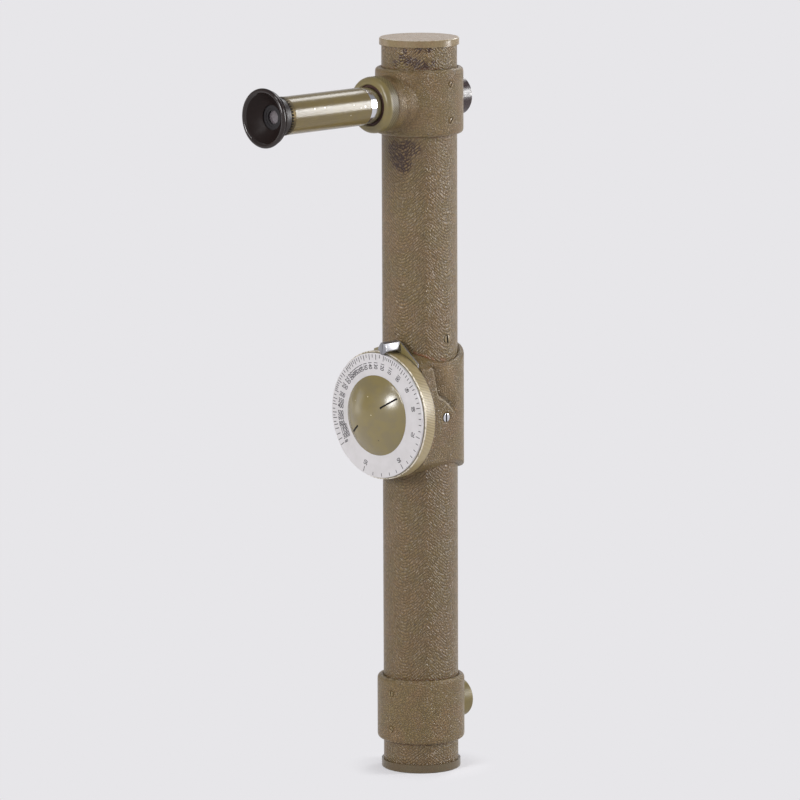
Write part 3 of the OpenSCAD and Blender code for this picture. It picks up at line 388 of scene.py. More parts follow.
def smooth_lacquer(name, shade=1.0):
    """Satin olive lacquer on turned pieces, rubbed to the metal on the top face and its edge. The paler top
    face is also a painted highlight, and a shade below 1 darkens the colour as painted shade.
    """
    finish = Finish(name, 0.28, shine=0.5)
    tone = finish.spread(finish.noise(7), 0.4, 0.6)
    # A shade below 1 paints shade into the whole colour
    color = finish.mix(tone, dimmed(OLIVE_SMOOTH, shade), dimmed(OLIVE_RUDDY, shade))
    radius = finish.vector("LENGTH", finish.vector("MULTIPLY", finish.place, (1, 1, 0)))
    top_face = finish.spread(finish.split["Z"], TOTAL_H - 0.5, TOTAL_H - 0.1)
    # The top face is paler, partly rubbed lacquer and partly a painted highlight
    rubbed_and_glare = finish.times(top_face, finish.spread(finish.noise(4, 4.0, 0.6), 0.25, 0.75, 0.45, 1.0))
    color = finish.mix(rubbed_and_glare, color, (0.420, 0.300, 0.180, 1))
    top_edge = finish.times(top_face, finish.spread(radius, CAP_DISC_R - 1.1, CAP_DISC_R - 0.5),
                            finish.spread(finish.noise(2, 3.0, 0.7), 0.35, 0.5))
    color = finish.mix(finish.times(top_edge, 0.8), color, (0.60, 0.55, 0.44, 1))
    finish.to("Base Color", color)
    finish.to("Metallic", finish.times(rubbed_and_glare, 0.35))
    finish.to("Roughness", finish.spread(finish.noise(2.5), 0.3, 0.7, 0.24, 0.34))
    finish.bump(finish.noise(0.8), 0.02)
    return finish.material


def gloss_lacquer(name, wear=None, roughness=0.16, peel=0.010, shine=0.5):
    """Glossy olive lacquer with a faint orange peel."""
    finish = Finish(name, roughness, shine=shine)
    color = finish.mix(finish.spread(finish.noise(9), 0.4, 0.6), OLIVE_GLOSS, (0.166, 0.132, 0.058, 1))
    if wear:
        color = wear(finish, color)
    finish.to("Base Color", color)
    finish.to("Roughness", finish.spread(finish.noise(5), 0.3, 0.7, roughness * 0.95, roughness * 1.06))
    finish.bump(finish.noise(2, 2.0, 0.5), peel)
    return finish.material


def eyepiece_wear(finish, color):
    """Paint chips and faint scratches on the eyepiece tube. A chip is (distance along, turn up, size)."""
    color = finish.mix(0.45, color, (0.110, 0.074, 0.026, 1))
    for along, up, size in EYEPIECE_CHIPS:
        angle = math.radians(up)
        centre = (LACQUER_R * math.cos(angle), -along, UPPER_AXIS + LACQUER_R * math.sin(angle))
        away = finish.vector("DISTANCE", finish.warp(0.8, 0.35), centre)
        color = finish.mix(finish.spread(away, size, size * 0.7), color, (0.70, 0.64, 0.52, 1))
    stripes = finish.noise(1.0, 4.0, 0.7, finish.vector("MULTIPLY", finish.place, (1, 0.12, 1)))
    return finish.mix(finish.spread(stripes, 0.68, 0.78, 0.0, 0.4), color, DARK)


def dome_wear(finish, color):
    """A few chips and dark specks on the dome. A chip is (right, up, size, pale)."""
    for right, up, size, pale in DOME_CHIPS:
        centre = (right, -CAP_FRONT + (right ** 2 + up ** 2) / (2 * CHIP_BALL), DIAL_AXIS + up)
        away = finish.vector("DISTANCE", finish.warp(0.8, 0.3), centre)
        chip = (0.62, 0.54, 0.36, 1) if pale else DARK
        color = finish.mix(finish.spread(away, size, size * 0.6), color, chip)
    return color


def rim_wear(finish, color):
    """The dial rim: pale knurl crests, partly rubbed and partly a painted highlight, painted shade along the
    rear edge where the rim meets the housing, and bare metal on the front edge.
    """
    radius = finish.from_axis(DIAL_AXIS)
    depth = finish.math("ADD", finish.split["Y"], DIAL_FRONT)
    # Paler knurl crests, partly rubbed and partly a painted highlight
    rubbed_and_lit_side = finish.spread(radius, DIAL_R - RIM_TOOTH * 0.8, DIAL_R - RIM_TOOTH * 0.2)
    color = finish.mix(finish.times(rubbed_and_lit_side, 0.75), color, (0.480, 0.375, 0.215, 1))
    # Painted shade along the rear edge, where the rim meets the housing
    rear = finish.spread(depth, DIAL_FRONT - DIAL_REAR - 0.9, DIAL_FRONT - DIAL_REAR - 0.4)
    color = finish.mix(finish.times(rear, 0.85), color, DARK)
    edge = finish.times(finish.spread(depth, 0.75, 0.40), finish.spread(radius, DIAL_R - 0.9, DIAL_R - 0.6))
    bare = finish.times(edge, finish.spread(finish.noise(1.3, 3.0, 0.7), 0.38, 0.50))
    finish.to("Metallic", finish.times(bare, 0.6))
    return finish.mix(bare, color, (0.72, 0.66, 0.56, 1))


def collar_wear(finish, color):
    """Paler crests of the collar's knurl, partly rubbed and partly a painted highlight, darker roots, partly
    dirt and partly painted shade, and painted shade along the rear edge where the collar meets the housing.
    """
    radius = finish.from_axis(UPPER_AXIS)
    band = finish.spread(finish.split["Y"], -COLLAR_REAR - 6.0, -COLLAR_REAR - 5.6)
    # Paler crests are partly rubbed and partly a painted highlight; darker roots are partly dirt and partly
    # painted shade
    crest = finish.spread(radius, COLLAR_R - COLLAR_TOOTH * 0.55, COLLAR_R - COLLAR_TOOTH * 0.1)
    root = finish.spread(radius, COLLAR_R - COLLAR_TOOTH * 0.45, COLLAR_R - COLLAR_TOOTH * 0.9)
    color = finish.mix(finish.times(band, crest, 0.7), color, (0.330, 0.262, 0.150, 1))
    color = finish.mix(finish.times(band, root, 0.95), color, (0.026, 0.016, 0.008, 1))
    # Painted shade along the rear edge, where the collar meets the housing
    rear = finish.spread(finish.split["Y"], -COLLAR_REAR - 0.9, -COLLAR_REAR - 0.4)
    return finish.mix(rear, color, DARK)


def plain_metal(name, color, roughness, scratch):
    """Turned or plated metal with fine turning marks."""
    finish = Finish(name, roughness, 1.0)
    marks = finish.noise(0.5, 4.0, 0.7, finish.vector("MULTIPLY", finish.place, (0.25, 0.25, 3.0)))
    shade = finish.spread(marks, 0.3, 0.7, 0.0, 0.5)
    finish.to("Base Color", finish.mix(shade, color, dimmed(color, 0.8)))
    finish.to("Roughness", finish.spread(marks, 0.3, 0.7, roughness * 0.7, roughness * 1.4))
    finish.bump(marks, scratch)
    return finish.material


def black_finish(name, color, roughness, shine=0.3):
    """Dark anodising, paint and grime with dust and a faint relief, also used for painted shade in notches
    and slots and for the eye lens's painted reflection.
    """
    finish = Finish(name, roughness, shine=shine)
    dusty = finish.spread(finish.noise(0.8, 5.0, 0.7), 0.60, 0.8, 0.0, 0.08)
    finish.to("Base Color", finish.mix(dusty, color, DUST))
    finish.to("Roughness", finish.spread(finish.noise(1.4), 0.3, 0.7, roughness * 0.8, roughness * 1.3))
    finish.bump(finish.noise(0.7), 0.006)
    return finish.material


def cup_finish(name):
    """Eyecup: glossy brown-black rim and a duller neck, with a little dust."""
    finish = Finish(name, 0.14, shine=0.5)
    dusty = finish.spread(finish.noise(0.8, 5.0, 0.7), 0.60, 0.8, 0.0, 0.05)
    finish.to("Base Color", finish.mix(dusty, (0.0135, 0.0075, 0.0060, 1), DUST))
    depth = finish.math("ADD", finish.split["Y"], EYECUP_FRONT)
    dull = finish.spread(depth, 9.5, 10.5)
    gloss = finish.spread(finish.noise(1.4), 0.3, 0.7, 0.13, 0.19)
    finish.to("Roughness", finish.math("ADD", finish.times(dull, 0.26), gloss))
    finish.bump(finish.noise(1.6), 0.004)
    return finish.material


def silvered_plate(name):
    """White silvered scale plate with faint stains, and painted shade at the foot of its edge, in the groove
    by the rim.
    """
    finish = Finish(name, 0.36, shine=0.45)
    stain = finish.noise(11, 4.0, 0.6)
    color = finish.mix(finish.spread(stain, 0.35, 0.7), (0.535, 0.515, 0.515, 1), (0.490, 0.470, 0.466, 1))
    # Painted shade at the foot of the plate's edge, in the groove by the rim
    foot = finish.spread(finish.split["Y"], -DIAL_FRONT - 0.40, -DIAL_FRONT - 0.15)
    finish.to("Base Color", finish.mix(foot, color, (0.06, 0.045, 0.045, 1)))
    finish.to("Roughness", finish.spread(finish.noise(1.2, 4.0, 0.6), 0.3, 0.7, 0.30, 0.44))
    finish.bump(finish.noise(0.4), 0.004)
    return finish.material


def ink(name):
    """Dark filler of the engraved marks."""
    finish = Finish(name, 0.6, shine=0.2)
    tone = finish.noise(0.9, 3.0, 0.7)
    finish.to("Base Color", finish.mix(tone, (0.030, 0.027, 0.030, 1), (0.090, 0.082, 0.086, 1)))
    return finish.material


def optical_glass(name, color):
    """Coated glass with faint smears."""
    finish = Finish(name, 0.02, sockets={"Transmission Weight": 1.0, "IOR": 1.52, "Base Color": color})
    finish.to("Roughness", finish.spread(finish.noise(3, 4.0, 0.6), 0.45, 0.8, 0.02, 0.10))
    return finish.material


# Spots of wear
def tube_spots(level, spots):
    """Spots for patch(), from a list of (turn, height over the level, radius, strength)."""
    return [(on_tube(turn, level + up, TUBE_R), radius, strength) for turn, up, radius, strength in spots]


UNDER_HOUSING = ((9, -15, 9, 1.0), (19, -18, 8, 0.9), (2, -9, 8, 0.8), (24, -8, 10, 0.62), (36, -8, 8, 0.5))
ON_NECK = ((17, 7, 4.5, 0.8), (27, 6, 4.5, 1.0), (37, 4.5, 4.5, 1.0), (46, 3.5, 4.5, 0.9), (55, 2.5, 4, 0.6),
           (22, 12, 3, 0.55), (42, 13, 3.5, 0.8), (58, 13.5, 3.5, 0.8), (66, 4, 4, 0.5), (5, 4, 4, 0.5))
WORN_SPOTS = tube_spots(UPPER_LOW, UNDER_HOUSING) + tube_spots(UPPER_TOP, ON_NECK)
# Pale spots beside the eyepiece, partly rubbed and partly a painted highlight
RUBBED_AND_HIGHLIGHT_SPOTS = (((18.0, -30, UPPER_AXIS + 2), 8, 0.85), ((14, -25, UPPER_AXIS + 17), 7, 0.35),
                ((24, -16, UPPER_AXIS + 17.5), 8, 0.30))
CASTINGS = ("upper_housing", "lower_housing", "centre_housing")
CAST_ENDS = [end(casting, 2) for casting in CASTINGS for end in (high, low)]

# A junction is (height, side, width), and the chips are described at eyepiece_wear and dome_wear
JUNCTIONS = ((UPPER_TOP + 0.4, 1, 1.5), (UPPER_LOW, -1, 1.8), (LOWER_TOP + 0.35, 1, 1.0),
             (LOWER_LOW - 0.15, -1, 1.5), (TUBE_LOW - 1.1, 1, 1.6))
EYEPIECE_CHIPS = ((62, 8, 0.9), (98, 20, 0.6), (107, 20, 0.6), (72, 16, 0.4), (66, 4, 0.35), (75, -14, 0.3))
DOME_CHIPS = ((-1.5, 13, 0.45, True), (3.2, 1.5, 0.4, True), (-14, 9, 0.35, True), (7, -15, 0.4, False))

TUBE_GRAIN = grained_lacquer("tube_grain", 2.1, 2.2, 0.5, 0.95, 0.14, tube_wear)
HOUSING_GRAIN = grained_lacquer("housing_grain", 1.5, 1.6, 0.38, 0.0, 0.08, housing_wear)
SMOOTH = smooth_lacquer("smooth_olive")
# A darker copy for the bottom cap: painted shade
SMOOTH_SHADED = smooth_lacquer("smooth_olive_painted_shade", 0.50)
SCREW_OLIVE = smooth_lacquer("screw_olive")
GLOSS = gloss_lacquer("gloss_olive")
GLOSS_COLLAR = gloss_lacquer("gloss_collar", collar_wear, 0.3)
GLOSS_TUBE = gloss_lacquer("gloss_tube", eyepiece_wear, 0.23, 0.001, 0.42)
GLOSS_DOME = gloss_lacquer("gloss_dome", dome_wear, 0.22, 0.002, 0.8)
GLOSS_RING = gloss_lacquer("gloss_ring", None, 0.36, 0.006, 0.2)
GLOSS_RIM = gloss_lacquer("gloss_rim", rim_wear, 0.32, 0.004)
CHROME = plain_metal("bright_chrome", (0.70, 0.70, 0.73, 1), 0.12, 0.001)
NICKEL = plain_metal("bright_nickel", (0.34, 0.34, 0.36, 1), 0.42, 0.001)
STEEL = plain_metal("turned_steel", (0.45, 0.45, 0.46, 1), 0.35, 0.01)
BRASS_METAL = plain_metal("turned_brass", BRASS, 0.3, 0.01)
BRASS_DULL = plain_metal("dull_brass", (0.105, 0.080, 0.042, 1), 0.5, 0.006)
RED_BROWN = black_finish("red_brown_grime", (0.060, 0.026, 0.018, 1), 0.5)
BLACK = black_finish("black_anodised", (0.016, 0.014, 0.015, 1), 0.42)
EBONITE = cup_finish("black_gloss")
# Near-black painted shade for notches, slots and slot floors
NOTCH_SHADOW = black_finish("notch_shadow", (0.010, 0.008, 0.007, 1), 0.7, 0.1)
RING_BLACK = black_finish("black_ring", (0.024, 0.009, 0.009, 1), 0.28, 0.6)
CONE_BLACK = black_finish("black_cone", (0.0125, 0.0075, 0.0065, 1), 0.4, 0.14)
PLATE = silvered_plate("silvered_plate")
INK = ink("engraving_ink")
GLASS = optical_glass("window_glass", (0.90, 0.95, 0.97, 1))
DARK_GLASS = optical_glass("lens_glass", (0.80, 0.86, 0.90, 1))
# Opaque grey stand-in for the eye lens: its grey is a painted reflection
EYE_LENS_PAINTED = black_finish("eye_lens_painted_reflection", (0.110, 0.095, 0.102, 1), 0.12, 0.9)


# Mesh helpers
def add_object(name, data):
    made = bpy.data.objects.new(name, data)
    bpy.context.scene.collection.objects.link(made)
    return made


def make_piece(name, mesh, material, body, replaces=(), smooth_angle=40):
    """A scene piece from a finished mesh, riding on a CAD body."""
    piece = add_object(name, mesh)
    mesh.materials.clear()
    mesh.materials.append(material)
    shade(mesh, smooth_angle)
    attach(piece, body)
    if replaces:
        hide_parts(*replaces)
    return piece


def shade(mesh, angle):
    """Smooth shading, with edges sharper than the angle kept sharp."""
    work = bmesh.new()
    work.from_mesh(mesh)
    limit = math.radians(angle)
    for face in work.faces:
        face.smooth = True
    for edge in work.edges:
        edge.smooth = len(edge.link_faces) == 2 and edge.calc_face_angle(0) < limit
    work.to_mesh(mesh)
    work.free()


def mesh_of(name, points, faces, place=Matrix()):
    """A mesh from points in millimetres, put at its place."""
    mesh = bpy.data.meshes.new(name)
    mesh.from_pydata([Vector(point) * MM for point in points], [], faces)
    mesh.transform(place)
    mesh.update()
    return mesh


def lathe(name, profile, place, steps=192, closed=True, relief=None):
    """A turned mesh. The profile lists (radius, height), and relief(index, step) lowers the radius."""
    points = []
    for step in range(steps):
        angle = 2 * math.pi * step / steps
        for index, (radius, height) in enumerate(profile):
            r = radius - (relief(index, step) if relief else 0)
            points.append((r * math.cos(angle), r * math.sin(angle), height))
    count = len(profile)
    faces = []
    for step in range(steps):
        here, there = step * count, (step + 1) % steps * count
        for index in range(count if closed else count - 1):
            after = (index + 1) % count
            faces.append((here + index, there + index, there + after, here + after))
    return mesh_of(name, points, faces, place)


def arc(cx, cy, radius, start, end, parts):
    """Points of an arc, with the angles in degrees."""
    turns = [math.radians(start + (end - start) * i / parts) for i in range(parts + 1)]
    return [(cx + radius * math.cos(t), cy + radius * math.sin(t)) for t in turns]


def prism(work, outline, bottom, top):
    """Adds a straight prism over a flat outline, in millimetres."""
    rings = [[work.verts.new(Vector((x, y, z)) * MM) for x, y in outline] for z in (bottom, top)]
    count = len(outline)
    work.faces.new(reversed(rings[0]))
    work.faces.new(rings[1])
    for i in range(count):
        j = (i + 1) % count
        work.faces.new((rings[0][i], rings[0][j], rings[1][j], rings[1][i]))


def flat_bar(work, half_w, start, end, height, turn=0):
    """Adds a flat bar along local Y from start to end, turned clockwise, in millimetres."""
    corners = [(-half_w, start), (half_w, start), (half_w, end), (-half_w, end)]
    work.faces.new([work.verts.new(turned(-turn) @ (Vector((x, y, height)) * MM)) for x, y in corners])


def finished(work, name, place, bevel=0.0, segments=2):
    """The bmesh as a mesh at its place, with its sharp edges bevelled."""
    bmesh.ops.recalc_face_normals(work, faces=work.faces)
    if bevel:
        sharp = [e for e in work.edges if len(e.link_faces) == 2 and e.calc_face_angle(0) > math.radians(30)]
        bmesh.ops.bevel(work, geom=sharp, offset=bevel * MM, segments=segments, profile=0.5, affect="EDGES")
    mesh = bpy.data.meshes.new(name)
    work.to_mesh(mesh)
    work.free()
    mesh.transform(place)
    return mesh


def evaluated_mesh(holder):
    """The object's mesh with its modifiers applied. The object itself is removed."""
    mesh = bpy.data.meshes.new_from_object(holder.evaluated_get(bpy.context.evaluated_depsgraph_get()))
    bpy.data.objects.remove(holder)
    return mesh


# Cast housings
def cast_piece(name, node, rounds, carve=None):
    """The CAD solid with its edges and corners rounded as casting and lacquer leave them."""
    solid = add_object(name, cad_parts[node].data.copy())
    remesh = solid.modifiers.new("remesh", "REMESH")
    remesh.mode = "VOXEL"
    remesh.voxel_size = CAST_VOXEL * MM
    mesh = evaluated_mesh(solid)
    mesh.name = name
    work = bmesh.new()
    work.from_mesh(mesh)
    verts = list(work.verts)
    for _ in range(rounds):
        bmesh.ops.smooth_vert(work, verts=verts, factor=0.5,
                              use_axis_x=True, use_axis_y=True, use_axis_z=True)
    if carve:
        for vert in verts:
            vert.co = carve(vert.co / MM) * MM
    keep_bore(verts)
    work.to_mesh(mesh)
    work.free()
    make_piece(name, mesh, HOUSING_GRAIN, "body", [node], 180)


def keep_bore(verts):
    """Puts the bore's points back on the tube, so that the rounded ends meet it."""
    for vert in verts:
        flat = Vector((vert.co.x, vert.co.y))
        if TUBE_R - 1 < flat.length / MM < TUBE_R + 0.7:
            flat = flat.normalized() * (TUBE_R + 0.03) * MM
            vert.co.x, vert.co.y = flat


def smooth_step(value, start, end):
    """Smooth step from start to end, held to 0..1."""
    part = min(max((value - start) / (end - start), 0), 1)
    return part * part * (3 - 2 * part)


def hollowed(point):
    """Deepens the scoop above the screw pads of the centre housing. The point is in millimetres."""
    lean = point.y - LINE_Y + (point.z - LINE_Z) * LINE_LEAN
    along = max(point.y - FOOT_Y, 0)
    foot = (point.z - FOOT_Z + FOOT_DROP * along + FOOT_CURVE * along ** 2) * FOOT_SLANT
    into = min(lean, foot)
    side = (smooth_step(abs(point.x), SCOOP_SIDE - 4, SCOOP_SIDE)
            * smooth_step(math.hypot(point.x, point.y), TUBE_R + 1.2, TUBE_R + 2.2))
    depth = (SCOOP_DEPTH * side * smooth_step(into, -0.1, 1.1) * smooth_step(into, 13, 2)
             * smooth_step(point.z, SCOOP_TOP, SCOOP_TOP - 2.5) * smooth_step(point.y, 6, -3))
    return Vector((point.x - math.copysign(depth, point.x), point.y, point.z))


cast_piece("centre_casting", "centre_housing", 5, hollowed)
cast_piece("upper_casting", "upper_housing", 7)
cast_piece("lower_casting", "lower_housing", 7)


# Dial
def tooth(step, steps, teeth):
    """0 on a tooth's crest and 1 at its root."""
    part = step * teeth / steps % 1
    return 1 - abs(2 * part - 1)


def knurled_rim():
    steps = RIM_TEETH * 4
    edge, bore, hub = 0.45, 3.1, 9
    band = (7, 8)
    profile = [
        (bore, HUB_REAR), (hub, HUB_REAR), (hub, DIAL_WEB), (DIAL_R - RIM_WALL, DIAL_WEB),
        (DIAL_R - RIM_WALL, DIAL_REAR), (DIAL_R - 0.3, DIAL_REAR), (DIAL_R - 0.05, DIAL_REAR + 0.25),
        (DIAL_R, DIAL_REAR + 0.3), (DIAL_R, DIAL_FRONT - edge - 0.35), (DIAL_R, DIAL_FRONT - edge),
        (DIAL_R - 0.12, DIAL_FRONT - 0.14), (DIAL_R - edge, DIAL_FRONT), (bore, DIAL_FRONT)]

    def relief(index, step):
        return RIM_TOOTH * tooth(step, steps, RIM_TEETH) if index in band else 0
    return lathe("dial_rim", profile, front_at(DIAL_AXIS), steps, relief=relief)


def dome():
    """Domed cap, with the radius and the centre height of its ball. Its slots are inlays of their own, strips
    of painted shade.
    """
    rise = CAP_FRONT - SCALE_FRONT
    ball = (CAP_R ** 2 + rise ** 2) / (2 * rise)
    centre = CAP_FRONT - ball
    top = math.degrees(math.asin((CAP_R - 0.15) / ball))
    outside = arc(0, centre, ball, 90 - top, 90, 40)[:-1]
    profile = [(CAP_R, SCALE_FRONT + 0.02), (CAP_R, SCALE_FRONT + 0.12)] + outside
    mesh = lathe("dial_dome", profile + [(0.02, CAP_FRONT)], front_at(DIAL_AXIS), closed=False)
    return mesh, ball, centre


# A mark stands NEAR_TURN over its distance in metres past the mark for infinity, in degrees
FAR_ANGLE = 234.46
NEAR_TURN = 16172


def scale_angle(distance):
    """Clockwise angle from the top of the mark for a distance in metres."""
    return FAR_ANGLE + NEAR_TURN / distance - 360


# Marks of the scale in metres, and their sizes. FACE_SIZE is the font's size over its digits' height
NUMBERED = (50, 60, 70, 80, 90, 100, 110, 120, 130, 140, 150, 160, 170, 180, 190, 200,
            220, 250, 300, 350, 400, 500, 600, 800, 1000, 1500, 3000)
MARKS = (list(range(50, 120, 2)) + list(range(120, 200, 5)) + list(range(200, 300, 10))
         + list(range(300, 400, 25)) + [450, 550, 700])
TICK_OUT = 39.9
TICK_LONG = 3.5
TICK_SHORT = 2.2
TICK_W = 0.54
DIGIT_H = 3.1
DIGIT_BOLD = 0.09
DIGIT_SQUEEZE = 0.80
FACE_SIZE = 1.42
LABEL_OUT = 35.3


def scale_marks():
    """Engraved marks: a mark for each distance, and a longer one for each numbered distance."""
    work = bmesh.new()
    lengths = {scale_angle(n): TICK_SHORT for n in MARKS}
    lengths.update({scale_angle(n): TICK_LONG for n in NUMBERED})
    lengths[FAR_ANGLE - 360] = TICK_LONG
    for angle, length in lengths.items():
        flat_bar(work, TICK_W / 2, TICK_OUT - length, TICK_OUT, SCALE_FRONT + INK_LIFT, angle)
    return finished(work, "scale_marks", front_at(DIAL_AXIS))


def text_mesh(words, height):
    """Flat digits of that height in the plain built-in face, starting at the origin."""
    curve = bpy.data.curves.new("numeral", "FONT")
    curve.body = words
    curve.size = height * FACE_SIZE * MM
    curve.offset = DIGIT_BOLD * MM
    curve.space_character = 0.95
    curve.resolution_u = 3
    mesh = evaluated_mesh(add_object("numeral", curve))
    bpy.data.curves.remove(curve)
    return mesh


def scale_numbers():
    """Numbers that read inwards from the rim. The last is an 8 laid on its side, for infinity."""
    work = bmesh.new()
    labels = [(scale_angle(n), str(n)) for n in NUMBERED] + [(FAR_ANGLE - 360, "8")]
    inwards = Matrix.Translation(Vector((0, LABEL_OUT, SCALE_FRONT + INK_LIFT)) * MM) @ turned(-90)
    for angle, words in labels:
        mesh = text_mesh(words, DIGIT_H)
        mesh.transform(Matrix.Diagonal((DIGIT_SQUEEZE, 1, 1, 1)))
        mesh.transform(Matrix.Translation((0, -DIGIT_H / 2 * MM, 0)))
        if words == "8":
            mesh.transform(Matrix.Translation((1.2 * MM, 0, 0)) @ turned(90)
                           @ Matrix.Translation((-1.1 * MM, 0, 0)))
        mesh.transform(turned(-angle) @ inwards)
        work.from_mesh(mesh)
        bpy.data.meshes.remove(mesh)
    return finished(work, "scale_numbers", front_at(DIAL_AXIS))


def scale_disc():
    edge, bore = 0.18, 7
    profile = [(bore, DIAL_FRONT + 0.01), (SCALE_R, DIAL_FRONT + 0.01), (SCALE_R, SCALE_FRONT - edge),
               (SCALE_R - edge, SCALE_FRONT), (bore, SCALE_FRONT)]
    return lathe("scale_disc", profile, front_at(DIAL_AXIS), 240)


make_piece("dial_rim", knurled_rim(), GLOSS_RIM, "dial", ["dial_knob"])
make_piece("scale_disc", scale_disc(), PLATE, "dial", ["scale_plate"])
make_piece("scale_marks", scale_marks(), INK, "dial")
make_piece("scale_numbers", scale_numbers(), INK, "dial")


# Index bracket
BAR_LOW = DIAL_R + 2
BAR_TOP = DIAL_R + 6.9
BAR_HALF = 3.75
TAB_TIP = 40.9


def mirrored(half):
    """The whole outline from its right half, clockwise from the top left corner."""
    left = [(-x, y) for x, y in reversed(half)]
    return left[-1:] + half + left[:-1]


def bracket():
    """Plate behind the dial, bar over the rim and pointed tab in front of the scale."""
    top_half = BAR_HALF / 2
    side = BAR_LOW + (BAR_TOP - BAR_LOW) * 0.2
    reach, foot = 20, 20
    shoulder = BAR_TOP - (reach - top_half) * math.tan(math.radians(30))
    plate = mirrored([(top_half, BAR_TOP), (reach, shoulder), (reach, foot)])
    inset = 0.03
    half = BAR_HALF - inset
    bar = mirrored([(top_half - inset, BAR_TOP - inset), (half, side), (half, BAR_LOW)])
    cheek = TAB_TIP + BAR_HALF * 0.8
    tab = mirrored([(top_half, BAR_TOP), (BAR_HALF, side), (BAR_HALF, cheek), (0.15, TAB_TIP)])
    work = bmesh.new()
    prism(work, plate, BOSS_FRONT, BOSS_FRONT + 1)
    prism(work, bar, BOSS_FRONT + 0.5, INDEX_FRONT - 0.5)
    prism(work, tab, INDEX_FRONT - 1, INDEX_FRONT)
    return finished(work, "index_pointer", front_at(DIAL_AXIS, INDEX_TURN), 0.1)


def index_line():
    work = bmesh.new()
    flat_bar(work, 0.2, TAB_TIP + 0.5, BAR_TOP - 0.3, INDEX_FRONT + INK_LIFT)
    return finished(work, "index_line", front_at(DIAL_AXIS, INDEX_TURN))


pointer = make_piece("index_pointer", bracket(), NICKEL, "body", ["index_bracket"], 30)
pointer.data.materials.append(GLOSS)
for face in pointer.data.polygons:
    face.material_index = int(face.normal.y < -0.9 and -face.center.y / MM < BOSS_FRONT + 1.2)
make_piece("index_line", index_line(), INK, "body")


# Eyepiece
def collar():
    """Clamp collar: a cross-knurled band at the rear and a smooth rounded front."""
    steps = COLLAR_TEETH * 4
    seat = 15.25
    band = [(COLLAR_R, COLLAR_REAR + 0.7 + 0.42 * i) for i in range(13)]
    round_front = arc(COLLAR_R - 3.6, COLLAR_FRONT - 3.2, 3.2, 0, 78, 10)
    profile = ([(seat, COLLAR_REAR), (COLLAR_R - 0.7, COLLAR_REAR), (COLLAR_R - 0.25, COLLAR_REAR + 0.4)]
               + band + [(COLLAR_R - 0.25, COLLAR_FRONT - 3.5)] + [(r + 0.15, h) for r, h in round_front]
               + [(COLLAR_BORE + 0.5, COLLAR_FRONT), (COLLAR_BORE, COLLAR_FRONT - 0.5),
                  (COLLAR_BORE, COLLAR_FRONT - 1.4), (seat, COLLAR_FRONT - 1.4)])

    def relief(index, step):
        if not 3 <= index < 3 + len(band):
            return 0
        row = index - 3
        cross = max(tooth(step + row, steps, COLLAR_TEETH), tooth(step - row, steps, COLLAR_TEETH))
        return COLLAR_TOOTH * cross
    return lathe("clamp_collar", profile, front_at(UPPER_AXIS), steps, relief=relief)


def eyepiece_barrel():
    """Lacquered eyepiece tube with rounded ends."""
    edge, bore = 0.25, 11.25
    profile = [(bore, LACQUER_START), (LACQUER_R - edge, LACQUER_START), (LACQUER_R, LACQUER_START + edge),
               (LACQUER_R, LACQUER_END - edge), (LACQUER_R - edge, LACQUER_END), (bore, LACQUER_END)]
    return lathe("eyepiece_barrel", profile, front_at(UPPER_AXIS))


def cup():
    """Eyecup: neck, stepped flare, rounded rim and conical inside with a sight hole."""
    z, rim, neck = EYECUP_FRONT, EYECUP_RIM, 12.5
    flare = rim - neck
    bore, hole = 10.7, 8.0
    web = EYECUP_REAR + 5.2
    outline = [(bore, EYECUP_REAR), (neck - 0.3, EYECUP_REAR), (neck, EYECUP_REAR + 0.3), (neck, z - 11.1)]
    outline += arc(neck + flare * 0.5, z - 11.1, flare * 0.5, 180, 130, 6)
    outline += arc(neck + flare * 0.55 - 0.5, z - 6.5, 0.5, -60, 70, 5)
    outline += arc(neck + flare * 0.82 - 0.5, z - 4.7, 0.5, -80, 60, 5)
    outline += arc(rim - 1.5, z - 1.7, 1.5, -50, 140, 18)
    outline += [(rim - 3.3, z - 1.6), (12.2, z - 5.4), (9.2, z - 7.7), (hole + 0.2, z - 8.3), (hole, z - 8.5)]
    return lathe("eye_shell", outline + [(hole, web), (bore, web)], front_at(UPPER_AXIS))


def dioptre_marks():
    """Notches around the front edge of the thin ring behind the eyecup, drawn as flat strips of painted
    shade.
    """
    work = bmesh.new()
    count, half_w, half_l = 40, 0.55, 0.75
    radius = high("dioptre_ring", 0) + 0.02
    along = EYECUP_REAR - 0.35 - half_l
    for i in range(count):
        turn = turned(360 * i / count)
        corners = [(-half_w, -half_l), (half_w, -half_l), (half_w, half_l), (-half_w, half_l)]
        work.faces.new([work.verts.new(turn @ (Vector((radius, x, along + y)) * MM)) for x, y in corners])
    return finished(work, "dioptre_marks", front_at(UPPER_AXIS))


make_piece("clamp_collar", collar(), GLOSS_COLLAR, "collar", ["eyepiece_collar"])
make_piece("eyepiece_barrel", eyepiece_barrel(), GLOSS_TUBE, "draw_tube", ["eyepiece_tube"])
shell = make_piece("eye_shell", cup(), EBONITE, "eyecup", ["eyecup"])
shell.data.materials.append(CONE_BLACK)
for face in shell.data.polygons:
    face_depth = EYECUP_FRONT + face.center.y / MM
    face_radius = math.hypot(face.center.x / MM, face.center.z / MM - UPPER_AXIS)
    face.material_index = int(1.65 < face_depth < 8.6 and face_radius < EYECUP_RIM - 1.8 - 0.75 * face_depth)
make_piece("dioptre_marks", dioptre_marks(), NOTCH_SHADOW, "draw_tube")


